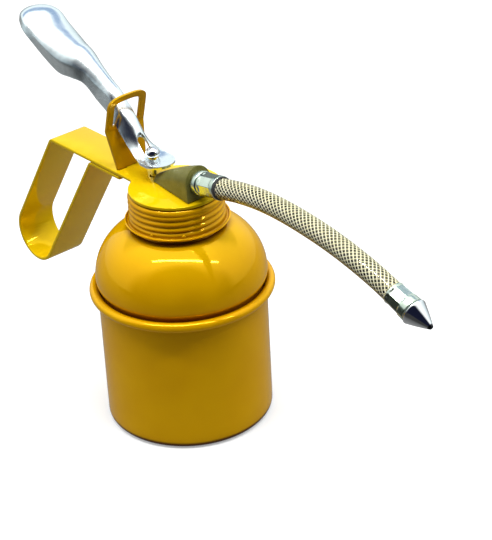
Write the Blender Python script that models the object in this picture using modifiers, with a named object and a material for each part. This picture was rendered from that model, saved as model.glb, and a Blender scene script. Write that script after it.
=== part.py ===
"""Thumb-lever pressure oil can with a flexible spout.

A drawn cup and a pressed dome make the can. A screw cap carries a strap handle,
a lever in a stirrup, a lift pump and an outlet block with a braided hose.
Metres, +Z up. The origin is the centre of the flat base, the spout points to +X
and the handle to -X. The part is symmetric about the XZ plane apart from its threads.
"""
import math

import bmesh
import bpy
from mathutils import Matrix, Vector

# Clearance between pieces that touch or run in each other
GAP = 0.0003

# Can
CAN_SHEET = 0.0007
CUP_RADIUS = 0.0376
CUP_CORNER = 0.0024
RIM_HEIGHT = 0.0636
RIM_CURL = 0.00185
SKIRT_DEPTH = 0.0111
DOME_RADIUS = 0.0381
BULGE_RISE = 0.0064
DOME_RISE = 0.0234
SHOULDER_FULLNESS = 1.30
NECK_LENGTH = 0.0135

# Screw thread rolled in the neck and in the cap
THREAD_PITCH = 0.0028
THREAD_DEPTH = 0.0009
THREAD_FADE = 0.0016
NECK_CREST = 0.02025
NECK_SHEET = 0.0006

# Screw cap
CAP_SHEET = 0.0006
CAP_TOP_CORNER = 0.0016
CAP_LIP_DROP = 0.0107
CAP_LIP_CURL = 0.0010
GASKET_THICKNESS = 0.0015
GASKET_WIDTH = 0.0014

# Handle strap, one strip with the disc that lies on the cap
STRAP_SHEET = 0.0015
STRAP_WIDTH = 0.0195
DISC_RADIUS = 0.0207
DISC_FILLET = 0.0035
STRAP_BEND_X = -0.0775
STRAP_BEND_RADIUS = 0.0030
HANDLE_LEAN = math.radians(33.3)
HANDLE_LEG = 0.0580
HANDLE_LOOP_RADIUS = 0.0129
FOOT_BEND_RADIUS = 0.0028
FOOT_LENGTH = 0.0205
WELD_RADIUS = 0.0022
WELD_X = -0.0390
WELD_SPREAD = 0.0050

# Stirrup that carries the lever
STIRRUP_SHEET = 0.0016
STIRRUP_X = -0.0308
STIRRUP_BASE_WIDTH = 0.0158
STIRRUP_WIDTH = 0.0206
STIRRUP_KINK_X = -0.0338
STIRRUP_KINK_RISE = 0.0180
STIRRUP_TOP_X = -0.0292
STIRRUP_SHOULDER_RISE = 0.0290
STIRRUP_RISE = 0.0346
STIRRUP_FULLNESS = 0.66
WINDOW_WIDTH = 0.0142
WINDOW_SILL_RISE = 0.0200
WINDOW_SHOULDER_RISE = 0.0285
WINDOW_TOP_RISE = 0.0318
TENON_WIDTH = 0.0040
TENON_SPREAD = 0.0055
TENON_PROUD = 0.0006

# Lever, a pressed channel that ends in a flat tab
LEVER_SHEET = 0.0012
LEVER_FULLNESS = 0.66
LEVER_SECTION_POINTS = 15
TAB_TIP_X = -0.0036
TAB_HALF_WIDTH = 0.0075
TAB_RISE = 0.0088
NOSE_START_X = -0.0142
NOSE_RISE = 0.0182
NOSE_EDGE_RISE = 0.0100
CHANNEL_HALF_WIDTH = 0.0056
GRIP_LENGTH = 0.06735
GRIP_START_RISE = 0.0212
GRIP_RISE = 0.0258
GRIP_EDGE_RISE = 0.0320
GRIP_HALF_WIDTH = 0.0110
SLOT_WIDTH = 0.0046
SLOT_BACK_X = -0.0234

# Plunger
ROD_X = -0.0146
ROD_RADIUS = 0.0015
ROD_TAIL = 0.0070
HEAD_RADIUS = 0.0032
HEAD_CONE = 0.0026
HEAD_DOME = 0.0029
HEAD_GAP = 0.00065
PISTON_RADIUS = 0.0028
PISTON_DROP = 0.0284
PISTON_LENGTH = 0.0050
CUP_SEAL_LENGTH = 0.0032
CUP_SEAL_WALL = 0.0007
PISTON_NUT_FLATS = 0.0034
PISTON_NUT_HEIGHT = 0.0026

# Pump
BARREL_BORE = 0.0031
BARREL_WALL = 0.0006
BARREL_LENGTH = 0.0393
PUMP_HEAD_HEIGHT = 0.0097
PUMP_HEAD_END_RADIUS = 0.0036
PUMP_SPIGOT_LENGTH = 0.0048
PACKING_HEIGHT = 0.0026
PACKING_RADIUS = 0.0025
PASSAGE_RADIUS = 0.0011
PASSAGE_DROP = 0.0060
FOOT_VALVE_HEIGHT = 0.0044
FOOT_BALL_RADIUS = 0.0016
SUCTION_RADIUS = 0.0022
SUCTION_WALL = 0.0007
SUCTION_BOTTOM = 0.0040
SPRING_WIRE = 0.0006
SPRING_RADIUS = 0.0023
SPRING_TURNS = 8

# Outlet block and its stud
BLOCK_REAR_X = -0.0098
BLOCK_FACE_X = 0.0163
BLOCK_REAR_HALF_WIDTH = 0.0042
BLOCK_FACE_HALF_WIDTH = 0.0074
BLOCK_REAR_HEIGHT = 0.0030
BLOCK_FACE_HEIGHT = 0.0145
BLOCK_ARCH = 0.90
BLOCK_SWELL = 0.30
BLOCK_STATIONS = 7
OUTLET_RISE = 0.0075
OUTLET_TILT = math.radians(9.0)
STUD_X = 0.0045
STUD_RADIUS = 0.0035
STUD_LENGTH = 0.0190
STUD_BORE = 0.0017
STUD_NUT_FLATS = 0.0110
STUD_NUT_HEIGHT = 0.0040
STUD_WASHER = 0.0009
VALVE_CHAMBER = 0.0027
VALVE_CHAMBER_DEPTH = 0.0100
DISCHARGE_BALL_RADIUS = 0.0020
VALVE_SPRING_WIRE = 0.0005
VALVE_SPRING_RADIUS = 0.0014
VALVE_SPRING_TURNS = 5

# Hose, its ferrules and the nozzle
FITTING_THREAD = 0.0034
FITTING_DEPTH = 0.0058
FITTING_BORE = 0.0012
FITTING_COLLAR = 0.0054
FITTING_COLLAR_LENGTH = 0.0036
FITTING_TAIL = 0.0023
FERRULE_RADIUS = 0.0053
FERRULE_CRIMP = 0.0003
BASE_FERRULE_LENGTH = 0.0100
HOSE_DIAMETER = 0.0091
TIP_FERRULE_LENGTH = 0.0112
TIP_FERRULE_RADIUS = 0.0054
TIP_FERRULE_MOUTH = 0.0049
NOZZLE_CONE = 0.0104
NOZZLE_RADIUS = 0.0057
NOZZLE_TIP_RADIUS = 0.0011
NOZZLE_BORE = 0.0006

# Hose route to the tip, chosen by hand: forward of the block's face and above the outlet
HOSE_ROUTE = [
    (0.0267, 0.0045),
    (0.0367, 0.0057),
    (0.0467, 0.0061),
    (0.0567, 0.0058),
    (0.0667, 0.0049),
    (0.0767, 0.0036),
    (0.0867, 0.0018),
    (0.0965, -0.0005),
    (0.1063, -0.0033),
    (0.1154, -0.0065),
]

# Mesh fineness
CAN_STEPS = 36
SMALL_STEPS = 20
THREAD_SAMPLES = 5

# Values that follow from the sizes above
RIM_TOP = RIM_HEIGHT + RIM_CURL + CAN_SHEET / 2
SKIRT_BOTTOM = RIM_HEIGHT - SKIRT_DEPTH
DOME_SPRING = RIM_HEIGHT + BULGE_RISE
SHOULDER_TOP = DOME_SPRING + DOME_RISE
NECK_TOP = SHOULDER_TOP + NECK_LENGTH
CAP_LIP_HEIGHT = NECK_TOP - CAP_LIP_DROP
NECK_ROOT = NECK_CREST - THREAD_DEPTH
CAP_INNER_CREST = NECK_CREST + GAP + 0.00005
CAP_CREST = CAP_INNER_CREST + CAP_SHEET
GASKET_BOTTOM = NECK_TOP + GAP
CAP_INNER_TOP = GASKET_BOTTOM + GASKET_THICKNESS + GAP
CAP_TOP = CAP_INNER_TOP + CAP_SHEET
PLATE_BOTTOM = CAP_TOP + GAP
PLATE_TOP = PLATE_BOTTOM + STRAP_SHEET
ROD_HOLE = ROD_RADIUS + 2 * GAP
STIRRUP_BASE = PLATE_TOP + GAP
FULCRUM_Z = PLATE_TOP + WINDOW_SILL_RISE
FORWARD_LEAN = (STIRRUP_TOP_X - STIRRUP_KINK_X) / (STIRRUP_RISE - STIRRUP_KINK_RISE)
FULCRUM_X = STIRRUP_KINK_X + FORWARD_LEAN * (WINDOW_SILL_RISE - STIRRUP_KINK_RISE)
FULCRUM = Vector((FULCRUM_X, 0.0, FULCRUM_Z))
TAB_TOP = PLATE_TOP + TAB_RISE
PUMP_HEAD_TOP = CAP_INNER_TOP - GAP
PUMP_HEAD_BOTTOM = PUMP_HEAD_TOP - PUMP_HEAD_HEIGHT
BARREL_BOTTOM = PUMP_HEAD_BOTTOM - BARREL_LENGTH
PISTON_BOTTOM = PUMP_HEAD_BOTTOM - PISTON_DROP
ROD_BOTTOM = PISTON_BOTTOM - ROD_TAIL
OUTLET_Z = PLATE_TOP + OUTLET_RISE
OUTLET_DIRECTION = Vector((math.cos(OUTLET_TILT), 0.0, math.sin(OUTLET_TILT)))
OUTLET_POINT = Vector((BLOCK_FACE_X, 0.0, OUTLET_Z))
STUD_BOTTOM = PLATE_BOTTOM - STUD_LENGTH
PASSAGE_Z = PUMP_HEAD_TOP - PASSAGE_DROP


def clear_scene():
    for obj in list(bpy.data.objects):
        bpy.data.objects.remove(obj, do_unlink=True)


def new_collection(name):
    collection = bpy.data.collections.new(name)
    bpy.context.scene.collection.children.link(collection)
    return collection


def material(name, color, roughness, metallic):
    mat = bpy.data.materials.new(name)
    mat.use_nodes = True
    shader = mat.node_tree.nodes["Principled BSDF"]
    shader.inputs["Base Color"].default_value = (*color, 1.0)
    shader.inputs["Roughness"].default_value = roughness
    shader.inputs["Metallic"].default_value = metallic
    return mat


def finish(obj, mat, collection, sharp=35.0):
    """Give a mesh object its material and collection, and shade it smooth."""
    obj.data.materials.clear()
    obj.data.materials.append(mat)
    if obj.type == "MESH":
        obj.data.shade_smooth()
        obj.data.set_sharp_from_angle(angle=math.radians(sharp))
    collection.objects.link(obj)
    return obj


def arc(center, radius, start, end, count):
    """Points on an arc in a plane, with angles in degrees."""
    points = []
    for i in range(count + 1):
        angle = math.radians(start + (end - start) * i / count)
        points.append((center[0] + radius * math.cos(angle), center[1] + radius * math.sin(angle)))
    return points


def sheet_profile(path, thickness):
    """Both faces of a sheet along its middle line: left side forward, right side back."""
    left = []
    right = []
    last = len(path) - 1
    for i, point in enumerate(path):
        before = Vector(path[max(i - 1, 0)])
        after = Vector(path[min(i + 1, last)])
        here = Vector(point)
        first = (here - before).normalized() if i > 0 else (after - here).normalized()
        second = (after - here).normalized() if i < last else first
        normal = Vector((-first.y - second.y, first.x + second.x)).normalized()
        stretch = 1.0 / max(normal.dot(Vector((-first.y, first.x))), 0.5)
        offset = normal * thickness / 2 * stretch
        left.append(here + offset)
        right.append(here - offset)
    return left + right[::-1]


def profile_object(name, profile, steps, closed):
    """A profile in the XZ plane that a Screw modifier turns round Z."""
    mesh = bpy.data.meshes.new(name)
    count = len(profile)
    edges = [(i, i + 1) for i in range(count - 1)]
    if closed:
        edges.append((count - 1, 0))
    mesh.from_pydata([(r, 0.0, z) for r, z in profile], edges, [])
    obj = bpy.data.objects.new(name, mesh)
    screw = obj.modifiers.new("Turn", "SCREW")
    screw.axis = "Z"
    screw.angle = 2 * math.pi
    screw.steps = steps
    screw.render_steps = steps
    screw.use_merge_vertices = True
    screw.merge_threshold = 0.000005
    return obj


def turned(name, profile, mat, collection, steps=SMALL_STEPS, closed=False, place=None):
    """A turned piece. Its profile runs down its outer side, top to bottom."""
    obj = profile_object(name, profile, steps, closed)
    if place is not None:
        obj.matrix_world = place
    finish(obj, mat, collection)
    obj.modifiers["Turn"].use_smooth_shade = True
    return obj


def ring_profile(inner, outer, bottom, top):
    """A plain ring as a closed profile."""
    return [(inner, top), (outer, top), (outer, bottom), (inner, bottom)]


def bake(obj):
    """Replace an object's mesh or curve with the mesh that its modifiers make."""
    context = bpy.context
    temporary = obj.name not in context.scene.collection.all_objects
    if temporary:
        context.scene.collection.objects.link(obj)
    context.view_layer.update()
    graph = context.evaluated_depsgraph_get()
    mesh = bpy.data.meshes.new_from_object(obj.evaluated_get(graph))
    result = bpy.data.objects.new(obj.name + "_baked", mesh)
    result.matrix_world = obj.matrix_world.copy()
    name = obj.name
    bpy.data.objects.remove(obj, do_unlink=True)
    result.name = name
    result.data.name = name
    return result


def weld(mesh, distance=0.000001):
    bm = bmesh.new()
    bm.from_mesh(mesh)
    bmesh.ops.remove_doubles(bm, verts=bm.verts, dist=distance)
    bmesh.ops.recalc_face_normals(bm, faces=bm.faces)
    bm.to_mesh(mesh)
    bm.free()


def flat_shape(name, outlines, thickness):
    """A flat plate in the XY plane from outlines, the first outside, the rest holes."""
    curve = bpy.data.curves.new(name, "CURVE")
    curve.dimensions = "2D"
    curve.fill_mode = "BOTH"
    curve.extrude = thickness / 2
    for outline in outlines:
        spline = curve.splines.new("POLY")
        spline.points.add(len(outline) - 1)
        for point, (x, y) in zip(spline.points, outline):
            point.co = (x, y, 0.0, 1.0)
        spline.use_cyclic_u = True
    obj = bake(bpy.data.objects.new(name, curve))
    weld(obj.data)
    return obj


def circle(x, y, radius, count):
    return arc((x, y), radius, 0.0, 360.0 - 360.0 / count, count - 1)


def cylinder_cutter(name, radius, start, end, cutters, vertices=SMALL_STEPS):
    """A cylinder between two points, kept as a cutter."""
    start = Vector(start)
    end = Vector(end)
    bm = bmesh.new()
    depth = (end - start).length
    bmesh.ops.create_cone(bm, cap_ends=True, segments=vertices, radius1=radius, radius2=radius, depth=depth)
    mesh = bpy.data.meshes.new(name)
    bm.to_mesh(mesh)
    bm.free()
    obj = bpy.data.objects.new(name, mesh)
    turn = (end - start).to_track_quat("Z", "Y").to_matrix().to_4x4()
    obj.matrix_world = Matrix.Translation((start + end) / 2) @ turn
    return as_cutter(obj, cutters)


def as_cutter(obj, cutters):
    obj.hide_render = True
    obj.display_type = "WIRE"
    cutters.objects.link(obj)
    return obj


def boolean(obj, tool, operation="DIFFERENCE"):
    modifier = obj.modifiers.new(tool.name, "BOOLEAN")
    modifier.operation = operation
    modifier.solver = "EXACT"
    modifier.object = tool


def thread_wave(angle, z):
    """Height of the rolled thread from 0 at its root to 1 at its crest."""
    phase = 2 * math.pi * z / THREAD_PITCH - angle
    return (1 + math.cos(phase)) / 2


def thread_fade(z, bottom, top):
    """1 inside the threaded band, falling to 0 over the fade at its ends."""
    return max(0.0, min(1.0, (z - bottom) / THREAD_FADE, (top - z) / THREAD_FADE))


def thread_levels(bottom, top):
    count = round((top - bottom) / THREAD_PITCH * THREAD_SAMPLES)
    return [bottom + (top - bottom) * i / count for i in range(count + 1)]


def roll_thread(mesh, bottom, top, from_root):
    """Roll the thread into a turned sheet: out from its root, or in from its crest."""
    for vertex in mesh.vertices:
        x, y, z = vertex.co
        fade = thread_fade(z, bottom, top)
        if fade <= 0.0:
            continue
        wave = thread_wave(math.atan2(y, x), z)
        shift = wave * fade if from_root else -(1 - wave) * fade
        radius = math.hypot(x, y)
        scale = (radius + THREAD_DEPTH * shift) / radius
        vertex.co = (x * scale, y * scale, z)


def make_cup(mat, collection):
    """Drawn cup: flat bottom, straight wall and a rim rolled outwards."""
    half = CAN_SHEET / 2
    wall = CUP_RADIUS - half
    path = [(0.0, half), (wall / 2, half)]
    path += arc((wall - CUP_CORNER, CUP_CORNER + half), CUP_CORNER, -90, 0, 5)
    path += [(wall, RIM_HEIGHT * 0.5)]
    path += arc((wall + RIM_CURL, RIM_HEIGHT), RIM_CURL, 180, -95, 12)
    profile = sheet_profile(path, CAN_SHEET)
    profile[0].x = 0.0
    profile[-1].x = 0.0
    return turned("can_cup", profile, mat, collection, CAN_STEPS)


def dome_path():
    """Middle line of the dome from its skirt up to the mouth of the neck."""
    half = CAN_SHEET / 2
    skirt = CUP_RADIUS - CAN_SHEET - GAP - half
    bulge = DOME_RADIUS - half
    neck = NECK_ROOT - NECK_SHEET / 2
    ease = DOME_SPRING - RIM_TOP
    path = [(skirt, SKIRT_BOTTOM), (skirt, RIM_HEIGHT), (skirt + CAN_SHEET * 0.4, RIM_TOP)]
    path += [(bulge - CAN_SHEET * 0.4, RIM_TOP + ease * 0.48), (bulge, RIM_TOP + ease * 0.76)]
    count = 12
    root = neck + 0.0006
    for i in range(count + 1):
        angle = math.pi / 2 * i / count
        reach = math.cos(angle) ** SHOULDER_FULLNESS if i < count else 0.0
        radius = root + (bulge - root) * reach
        path.append((radius, DOME_SPRING + (SHOULDER_TOP - DOME_SPRING) * math.sin(angle)))
    path += [(neck, SHOULDER_TOP + 0.0012)]
    path += [(neck, z) for z in thread_levels(SHOULDER_TOP + 0.0018, NECK_TOP)]
    return path


def make_dome(mat, collection):
    """Pressed dome whose neck carries a rolled thread."""
    obj = profile_object("can_dome", sheet_profile(dome_path(), CAN_SHEET), CAN_STEPS, True)
    obj = bake(obj)
    roll_thread(obj.data, SHOULDER_TOP + 0.0018, NECK_TOP, True)
    return finish(obj, mat, collection)


def cap_path():
    """Middle line of the cap from its centre to the curled lip."""
    half = CAP_SHEET / 2
    skirt = CAP_CREST - half
    top = CAP_TOP - half
    lip = (skirt + CAP_LIP_CURL, CAP_LIP_HEIGHT + CAP_LIP_CURL)
    path = [(0.0, top), (skirt * 0.5, top)]
    path += arc((skirt - CAP_TOP_CORNER, top - CAP_TOP_CORNER), CAP_TOP_CORNER, 90, 0, 3)
    levels = thread_levels(lip[1] + 0.0006, top - CAP_TOP_CORNER)
    path += [(skirt, z) for z in levels[::-1][1:]]
    path += arc(lip, CAP_LIP_CURL, 180, 355, 6)
    return path


def make_cap(mat, collection, cutters):
    """Pressed screw cap with a rolled thread, a curled lip and holes for rod and stud."""
    profile = sheet_profile(cap_path(), CAP_SHEET)
    profile[0].x = 0.0
    profile[-1].x = 0.0
    obj = bake(profile_object("screw_cap", profile, CAN_STEPS, False))
    band_bottom = CAP_LIP_HEIGHT + CAP_LIP_CURL + 0.0006
    roll_thread(obj.data, band_bottom, CAP_TOP - CAP_TOP_CORNER, False)
    finish(obj, mat, collection)
    low = CAP_TOP - 0.003
    high = CAP_TOP + 0.002
    for name, x, radius in (("cap_rod", ROD_X, ROD_HOLE), ("cap_stud", STUD_X, STUD_RADIUS + GAP)):
        boolean(obj, cylinder_cutter(name, radius, (x, 0, low), (x, 0, high), cutters))
    return obj


def make_gasket(mat, collection):
    outer = CAP_INNER_CREST - THREAD_DEPTH * 0.7 - GAP
    profile = ring_profile(outer - GASKET_WIDTH, outer, GASKET_BOTTOM, GASKET_BOTTOM + GASKET_THICKNESS)
    return turned("cap_gasket", profile, mat, collection, CAN_STEPS, closed=True)


class StripPath:
    """Middle line of the bent strip, as straight runs and arcs in the XZ plane."""

    def __init__(self):
        self.runs = []
        self.length = 0.0
        self.point = Vector((0.0, PLATE_BOTTOM + STRAP_SHEET / 2))
        self.heading = math.pi

    def straight(self, length):
        self.runs.append((self.length, length, self.point.copy(), self.heading, 0.0))
        self.point += length * Vector((math.cos(self.heading), math.sin(self.heading)))
        self.length += length

    def bend(self, radius, angle):
        """Turn by a signed angle, anticlockwise when positive."""
        length = radius * abs(angle)
        self.runs.append((self.length, length, self.point.copy(), self.heading, angle))
        self.point, self.heading = self.locate(self.length + length)
        self.length += length

    def locate(self, distance):
        """Point and heading at a distance along the strip."""
        run = self.runs[0]
        for candidate in self.runs:
            if distance >= candidate[0] - 1e-9:
                run = candidate
        start, length, point, heading, angle = run
        along = distance - start
        if angle == 0.0:
            return point + along * Vector((math.cos(heading), math.sin(heading))), heading
        radius = length / abs(angle)
        side = math.copysign(1.0, angle)
        center = point + side * radius * Vector((-math.sin(heading), math.cos(heading)))
        turned_by = side * along / radius
        offset = point - center
        turned_offset = Vector((
            offset.x * math.cos(turned_by) - offset.y * math.sin(turned_by),
            offset.x * math.sin(turned_by) + offset.y * math.cos(turned_by),
        ))
        return center + turned_offset, heading + turned_by


def clean_flats(bm):
    """Join the faces that lie in one plane, and turn all faces outwards."""
    bmesh.ops.dissolve_limit(bm, angle_limit=math.radians(0.2), verts=bm.verts, edges=bm.edges)
    bmesh.ops.recalc_face_normals(bm, faces=bm.faces)


def strap_path():
    """Plate, bend, outer leg, loop, inner leg and the foot under the plate."""
    slope = math.pi / 2 - HANDLE_LEAN
    path = StripPath()
    path.straight(-STRAP_BEND_X)
    path.bend(STRAP_BEND_RADIUS, slope)
    path.straight(HANDLE_LEG)
    path.bend(HANDLE_LOOP_RADIUS, math.pi)
    foot_level = PLATE_BOTTOM - GAP - STRAP_SHEET / 2
    rise = foot_level - path.point.y - FOOT_BEND_RADIUS * (1 - math.cos(slope))
    path.straight(rise / math.sin(slope))
    path.bend(FOOT_BEND_RADIUS, -slope)
    path.straight(FOOT_LENGTH)
    return path


def disc_outline():
    """Disc of the strap with its fillets, up to where the even strip begins."""
    half = STRAP_WIDTH / 2
    reach = DISC_RADIUS + DISC_FILLET
    fillet_y = half + DISC_FILLET
    fillet_x = math.sqrt(reach ** 2 - fillet_y ** 2)
    touch = math.degrees(math.atan2(fillet_y, fillet_x))
    outline = arc((fillet_x, fillet_y), DISC_FILLET, 270, 180 + touch, 4)[:-1]
    outline += arc((0, 0), DISC_RADIUS, touch, 360 - touch, 36)
    outline += arc((fillet_x, -fillet_y), DISC_FILLET, 180 - touch, 90, 4)[1:]
    return outline


def strip_stations(path, start):
    """Distances along the strip where it is creased, from the disc to the foot."""
    stations = []
    for run_start, length, _, _, angle in path.runs[1:]:
        count = max(4, round(abs(math.degrees(angle)) / 13)) if angle != 0.0 else 1
        stations += [run_start + length * i / count for i in range(count)]
    return [station for station in stations if station > start]


def slot_cutter(name, y, low, high, cutters):
    """Slot that a stirrup tenon passes through."""
    size = (STIRRUP_SHEET + 2 * GAP, TENON_WIDTH + 2 * GAP, high - low)
    bm = bmesh.new()
    bmesh.ops.create_cube(bm, size=1.0, matrix=Matrix.Diagonal((*size, 1.0)))
    mesh = bpy.data.meshes.new(name)
    bm.to_mesh(mesh)
    bm.free()
    obj = bpy.data.objects.new(name, mesh)
    obj.location = (STIRRUP_X, y, (low + high) / 2)
    return as_cutter(obj, cutters)


def strap_surface(path):
    """Middle surface of the strap, as flat faces laid along its path."""
    bm = bmesh.new()
    half = STRAP_WIDTH / 2
    corner = 0.0012

    def lay(along, across):
        if along <= 0:
            return bm.verts.new((-along, across, path.runs[0][2].y))
        point = path.locate(along)[0]
        return bm.verts.new((point.x, across, point.y))

    head = [lay(along, across) for along, across in disc_outline()]
    bm.faces.new(head)
    edge = (head[0], head[-1])
    for station in strip_stations(path, -head[0].co.x):
        row = (lay(station, half), lay(station, -half))
        bm.faces.new((edge[0], edge[1], row[1], row[0]))
        edge = row
    end = path.length - corner
    tail = arc((end, -half + corner), corner, -90, 0, 3) + arc((end, half - corner), corner, 0, 90, 3)
    bm.faces.new([edge[0], edge[1]] + [lay(along, across) for along, across in tail])
    bmesh.ops.recalc_face_normals(bm, faces=bm.faces)
    mesh = bpy.data.meshes.new("handle_strap")
    bm.to_mesh(mesh)
    bm.free()
    return mesh


def make_strap(mat, collection, cutters):
    """Handle strap: a flat blank bent to a loop, its foot spot-welded under the plate."""
    path = strap_path()
    obj = bpy.data.objects.new("handle_strap", strap_surface(path))
    thick = obj.modifiers.new("Sheet", "SOLIDIFY")
    thick.thickness = STRAP_SHEET
    thick.offset = 0.0
    thick.use_even_offset = True
    finish(obj, mat, collection)
    low = PLATE_BOTTOM - GAP - STRAP_SHEET / 2
    high = PLATE_BOTTOM + STRAP_SHEET / 2
    for side, word in ((-1, "right"), (1, "left")):
        y = side * WELD_SPREAD
        spot = cylinder_cutter(f"weld_{word}", WELD_RADIUS, (WELD_X, y, low), (WELD_X, y, high), cutters, 12)
        boolean(obj, spot, "UNION")
        slot = slot_cutter(f"slot_{word}", side * TENON_SPREAD, low - 0.002, high + 0.002, cutters)
        boolean(obj, slot)
    low = PLATE_BOTTOM - 0.0001
    high = PLATE_TOP + 0.001
    for name, x, radius in (("plate_rod", ROD_X, ROD_HOLE), ("plate_stud", STUD_X, STUD_RADIUS + GAP)):
        boolean(obj, cylinder_cutter(name, radius, (x, 0, low), (x, 0, high), cutters))
    return obj


def arch(half_width, shoulder, top, fullness, count):
    """Right half of an arch, from its shoulder to its top, in width and height."""
    points = []
    for i in range(count + 1):
        angle = math.pi / 2 * i / count
        width = half_width * math.cos(angle) ** fullness if i < count else 0.0
        points.append((width, shoulder + (top - shoulder) * math.sin(angle) ** fullness))
    return points


def stirrup_lean(z):
    """Where the stirrup's middle stands along X at a height: it leans back, then forward."""
    kink = PLATE_TOP + STIRRUP_KINK_RISE
    if z <= PLATE_TOP:
        return STIRRUP_X
    if z <= kink:
        return STIRRUP_X + (STIRRUP_KINK_X - STIRRUP_X) * (z - PLATE_TOP) / STIRRUP_KINK_RISE
    return STIRRUP_KINK_X + FORWARD_LEAN * (z - kink)


def make_stirrup(mat, collection):
    """Stirrup: a plate with an arched window for the lever and two tenons in the strap."""
    base = STIRRUP_BASE
    kink = PLATE_TOP + STIRRUP_KINK_RISE
    tenon_bottom = PLATE_BOTTOM - GAP - STRAP_SHEET - TENON_PROUD
    right = []
    inner = TENON_SPREAD - TENON_WIDTH / 2
    outer = TENON_SPREAD + TENON_WIDTH / 2
    right += [(inner, base), (inner, tenon_bottom), (outer, tenon_bottom), (outer, base)]
    right += [(STIRRUP_BASE_WIDTH / 2, base), (STIRRUP_WIDTH / 2, kink)]
    shoulder = PLATE_TOP + STIRRUP_SHOULDER_RISE
    right += arch(STIRRUP_WIDTH / 2, shoulder, PLATE_TOP + STIRRUP_RISE, STIRRUP_FULLNESS, 8)
    outline = right + [(-y, z) for y, z in right[-2::-1]]
    sill = PLATE_TOP + WINDOW_SILL_RISE
    window = [(WINDOW_WIDTH / 2, sill)]
    window_top = PLATE_TOP + WINDOW_TOP_RISE
    window += arch(WINDOW_WIDTH / 2, PLATE_TOP + WINDOW_SHOULDER_RISE, window_top, STIRRUP_FULLNESS, 7)
    window += [(-y, z) for y, z in window[-2::-1]]
    obj = flat_shape("lever_stirrup", [outline, window], STIRRUP_SHEET)
    bm = bmesh.new()
    bm.from_mesh(obj.data)
    for level in (PLATE_TOP, kink):
        everything = bm.verts[:] + bm.edges[:] + bm.faces[:]
        bmesh.ops.bisect_plane(bm, geom=everything, plane_co=(0, level, 0), plane_no=(0, 1, 0))
    for vertex in bm.verts:
        across, height, depth = vertex.co
        vertex.co = (stirrup_lean(height) + depth, across, height)
    clean_flats(bm)
    bm.to_mesh(obj.data)
    bm.free()
    return finish(obj, mat, collection)


def lever_stations():
    """Stations of the lever: place along X, crown height, half width and lower edge."""
    return nose_stations() + grip_stations()


def nose_stations():
    """From the tab up to the stirrup. Shares: along, crown, extra width and edge."""
    shares = [
        (0.000, 0.006, 1.00, 0.00),
        (0.172, 0.077, 0.79, 0.05),
        (0.332, 0.236, 0.47, 0.14),
        (0.481, 0.429, 0.16, 0.26),
        (0.631, 0.626, 0.05, 0.43),
        (0.802, 0.824, 0.00, 0.70),
        (1.000, 1.000, 0.00, 1.00),
    ]
    front = FULCRUM.x + STIRRUP_SHEET
    stations = []
    for along, crown, extra, edge in shares:
        x = NOSE_START_X + (front - NOSE_START_X) * along
        half_width = CHANNEL_HALF_WIDTH + (TAB_HALF_WIDTH - CHANNEL_HALF_WIDTH) * extra
        stations.append((x, TAB_TOP + NOSE_RISE * crown, half_width, TAB_TOP + NOSE_EDGE_RISE * edge))
    return stations


def grip_stations():
    """Over the stirrup and out to the grip's end. Shares: along, crown, width and edge."""
    shares = [
        (0.0528, 0.140, 0.510, 0.112),
        (0.1508, 0.357, 0.527, 0.262),
        (0.2695, 0.527, 0.582, 0.400),
        (0.3735, 0.636, 0.709, 0.475),
        (0.4774, 0.729, 0.845, 0.550),
        (0.5962, 0.822, 0.955, 0.675),
        (0.7150, 0.915, 1.000, 0.800),
        (0.8115, 0.977, 0.955, 0.888),
        (0.8857, 1.000, 0.818, 0.944),
        (0.9421, 0.992, 0.627, 0.975),
        (0.9792, 0.954, 0.418, 0.994),
        (1.0000, 0.899, 0.218, 1.000),
    ]
    notch = FULCRUM.z + GAP
    front = FULCRUM.x + STIRRUP_SHEET
    rear = FULCRUM.x - STIRRUP_SHEET
    crown_at_rear = TAB_TOP + GRIP_START_RISE
    stations = [(front - GAP, TAB_TOP + NOSE_RISE * 1.01, CHANNEL_HALF_WIDTH, notch)]
    stations.append((rear, crown_at_rear, CHANNEL_HALF_WIDTH, notch))
    for along, crown, width, edge in shares:
        place = (rear - GRIP_LENGTH * along, crown_at_rear + GRIP_RISE * crown)
        stations.append((*place, GRIP_HALF_WIDTH * width, notch + GRIP_EDGE_RISE * edge))
    return stations


def tab_sections():
    """Sections of the flat tab, from its round tip back to its widest place."""
    sections = []
    center = TAB_TIP_X - TAB_HALF_WIDTH
    for degrees in (12, 30, 50, 70, 90):
        angle = math.radians(degrees)
        x = center + TAB_HALF_WIDTH * math.cos(angle)
        sections.append((x, TAB_TOP, TAB_HALF_WIDTH * math.sin(angle), TAB_TOP))
    return sections


def lever_section(x, crown, half_width, edge):
    """One cross-section of the channel, from its right edge over the crown to its left."""
    points = []
    for i in range(LEVER_SECTION_POINTS):
        angle = math.pi / 2 * (1 - 2 * i / (LEVER_SECTION_POINTS - 1))
        across = math.copysign(abs(math.sin(angle)) ** LEVER_FULLNESS, angle)
        down = 1 - max(math.cos(angle), 0.0) ** LEVER_FULLNESS
        points.append(Vector((x, half_width * across, crown - (crown - edge) * down)))
    return points


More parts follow.
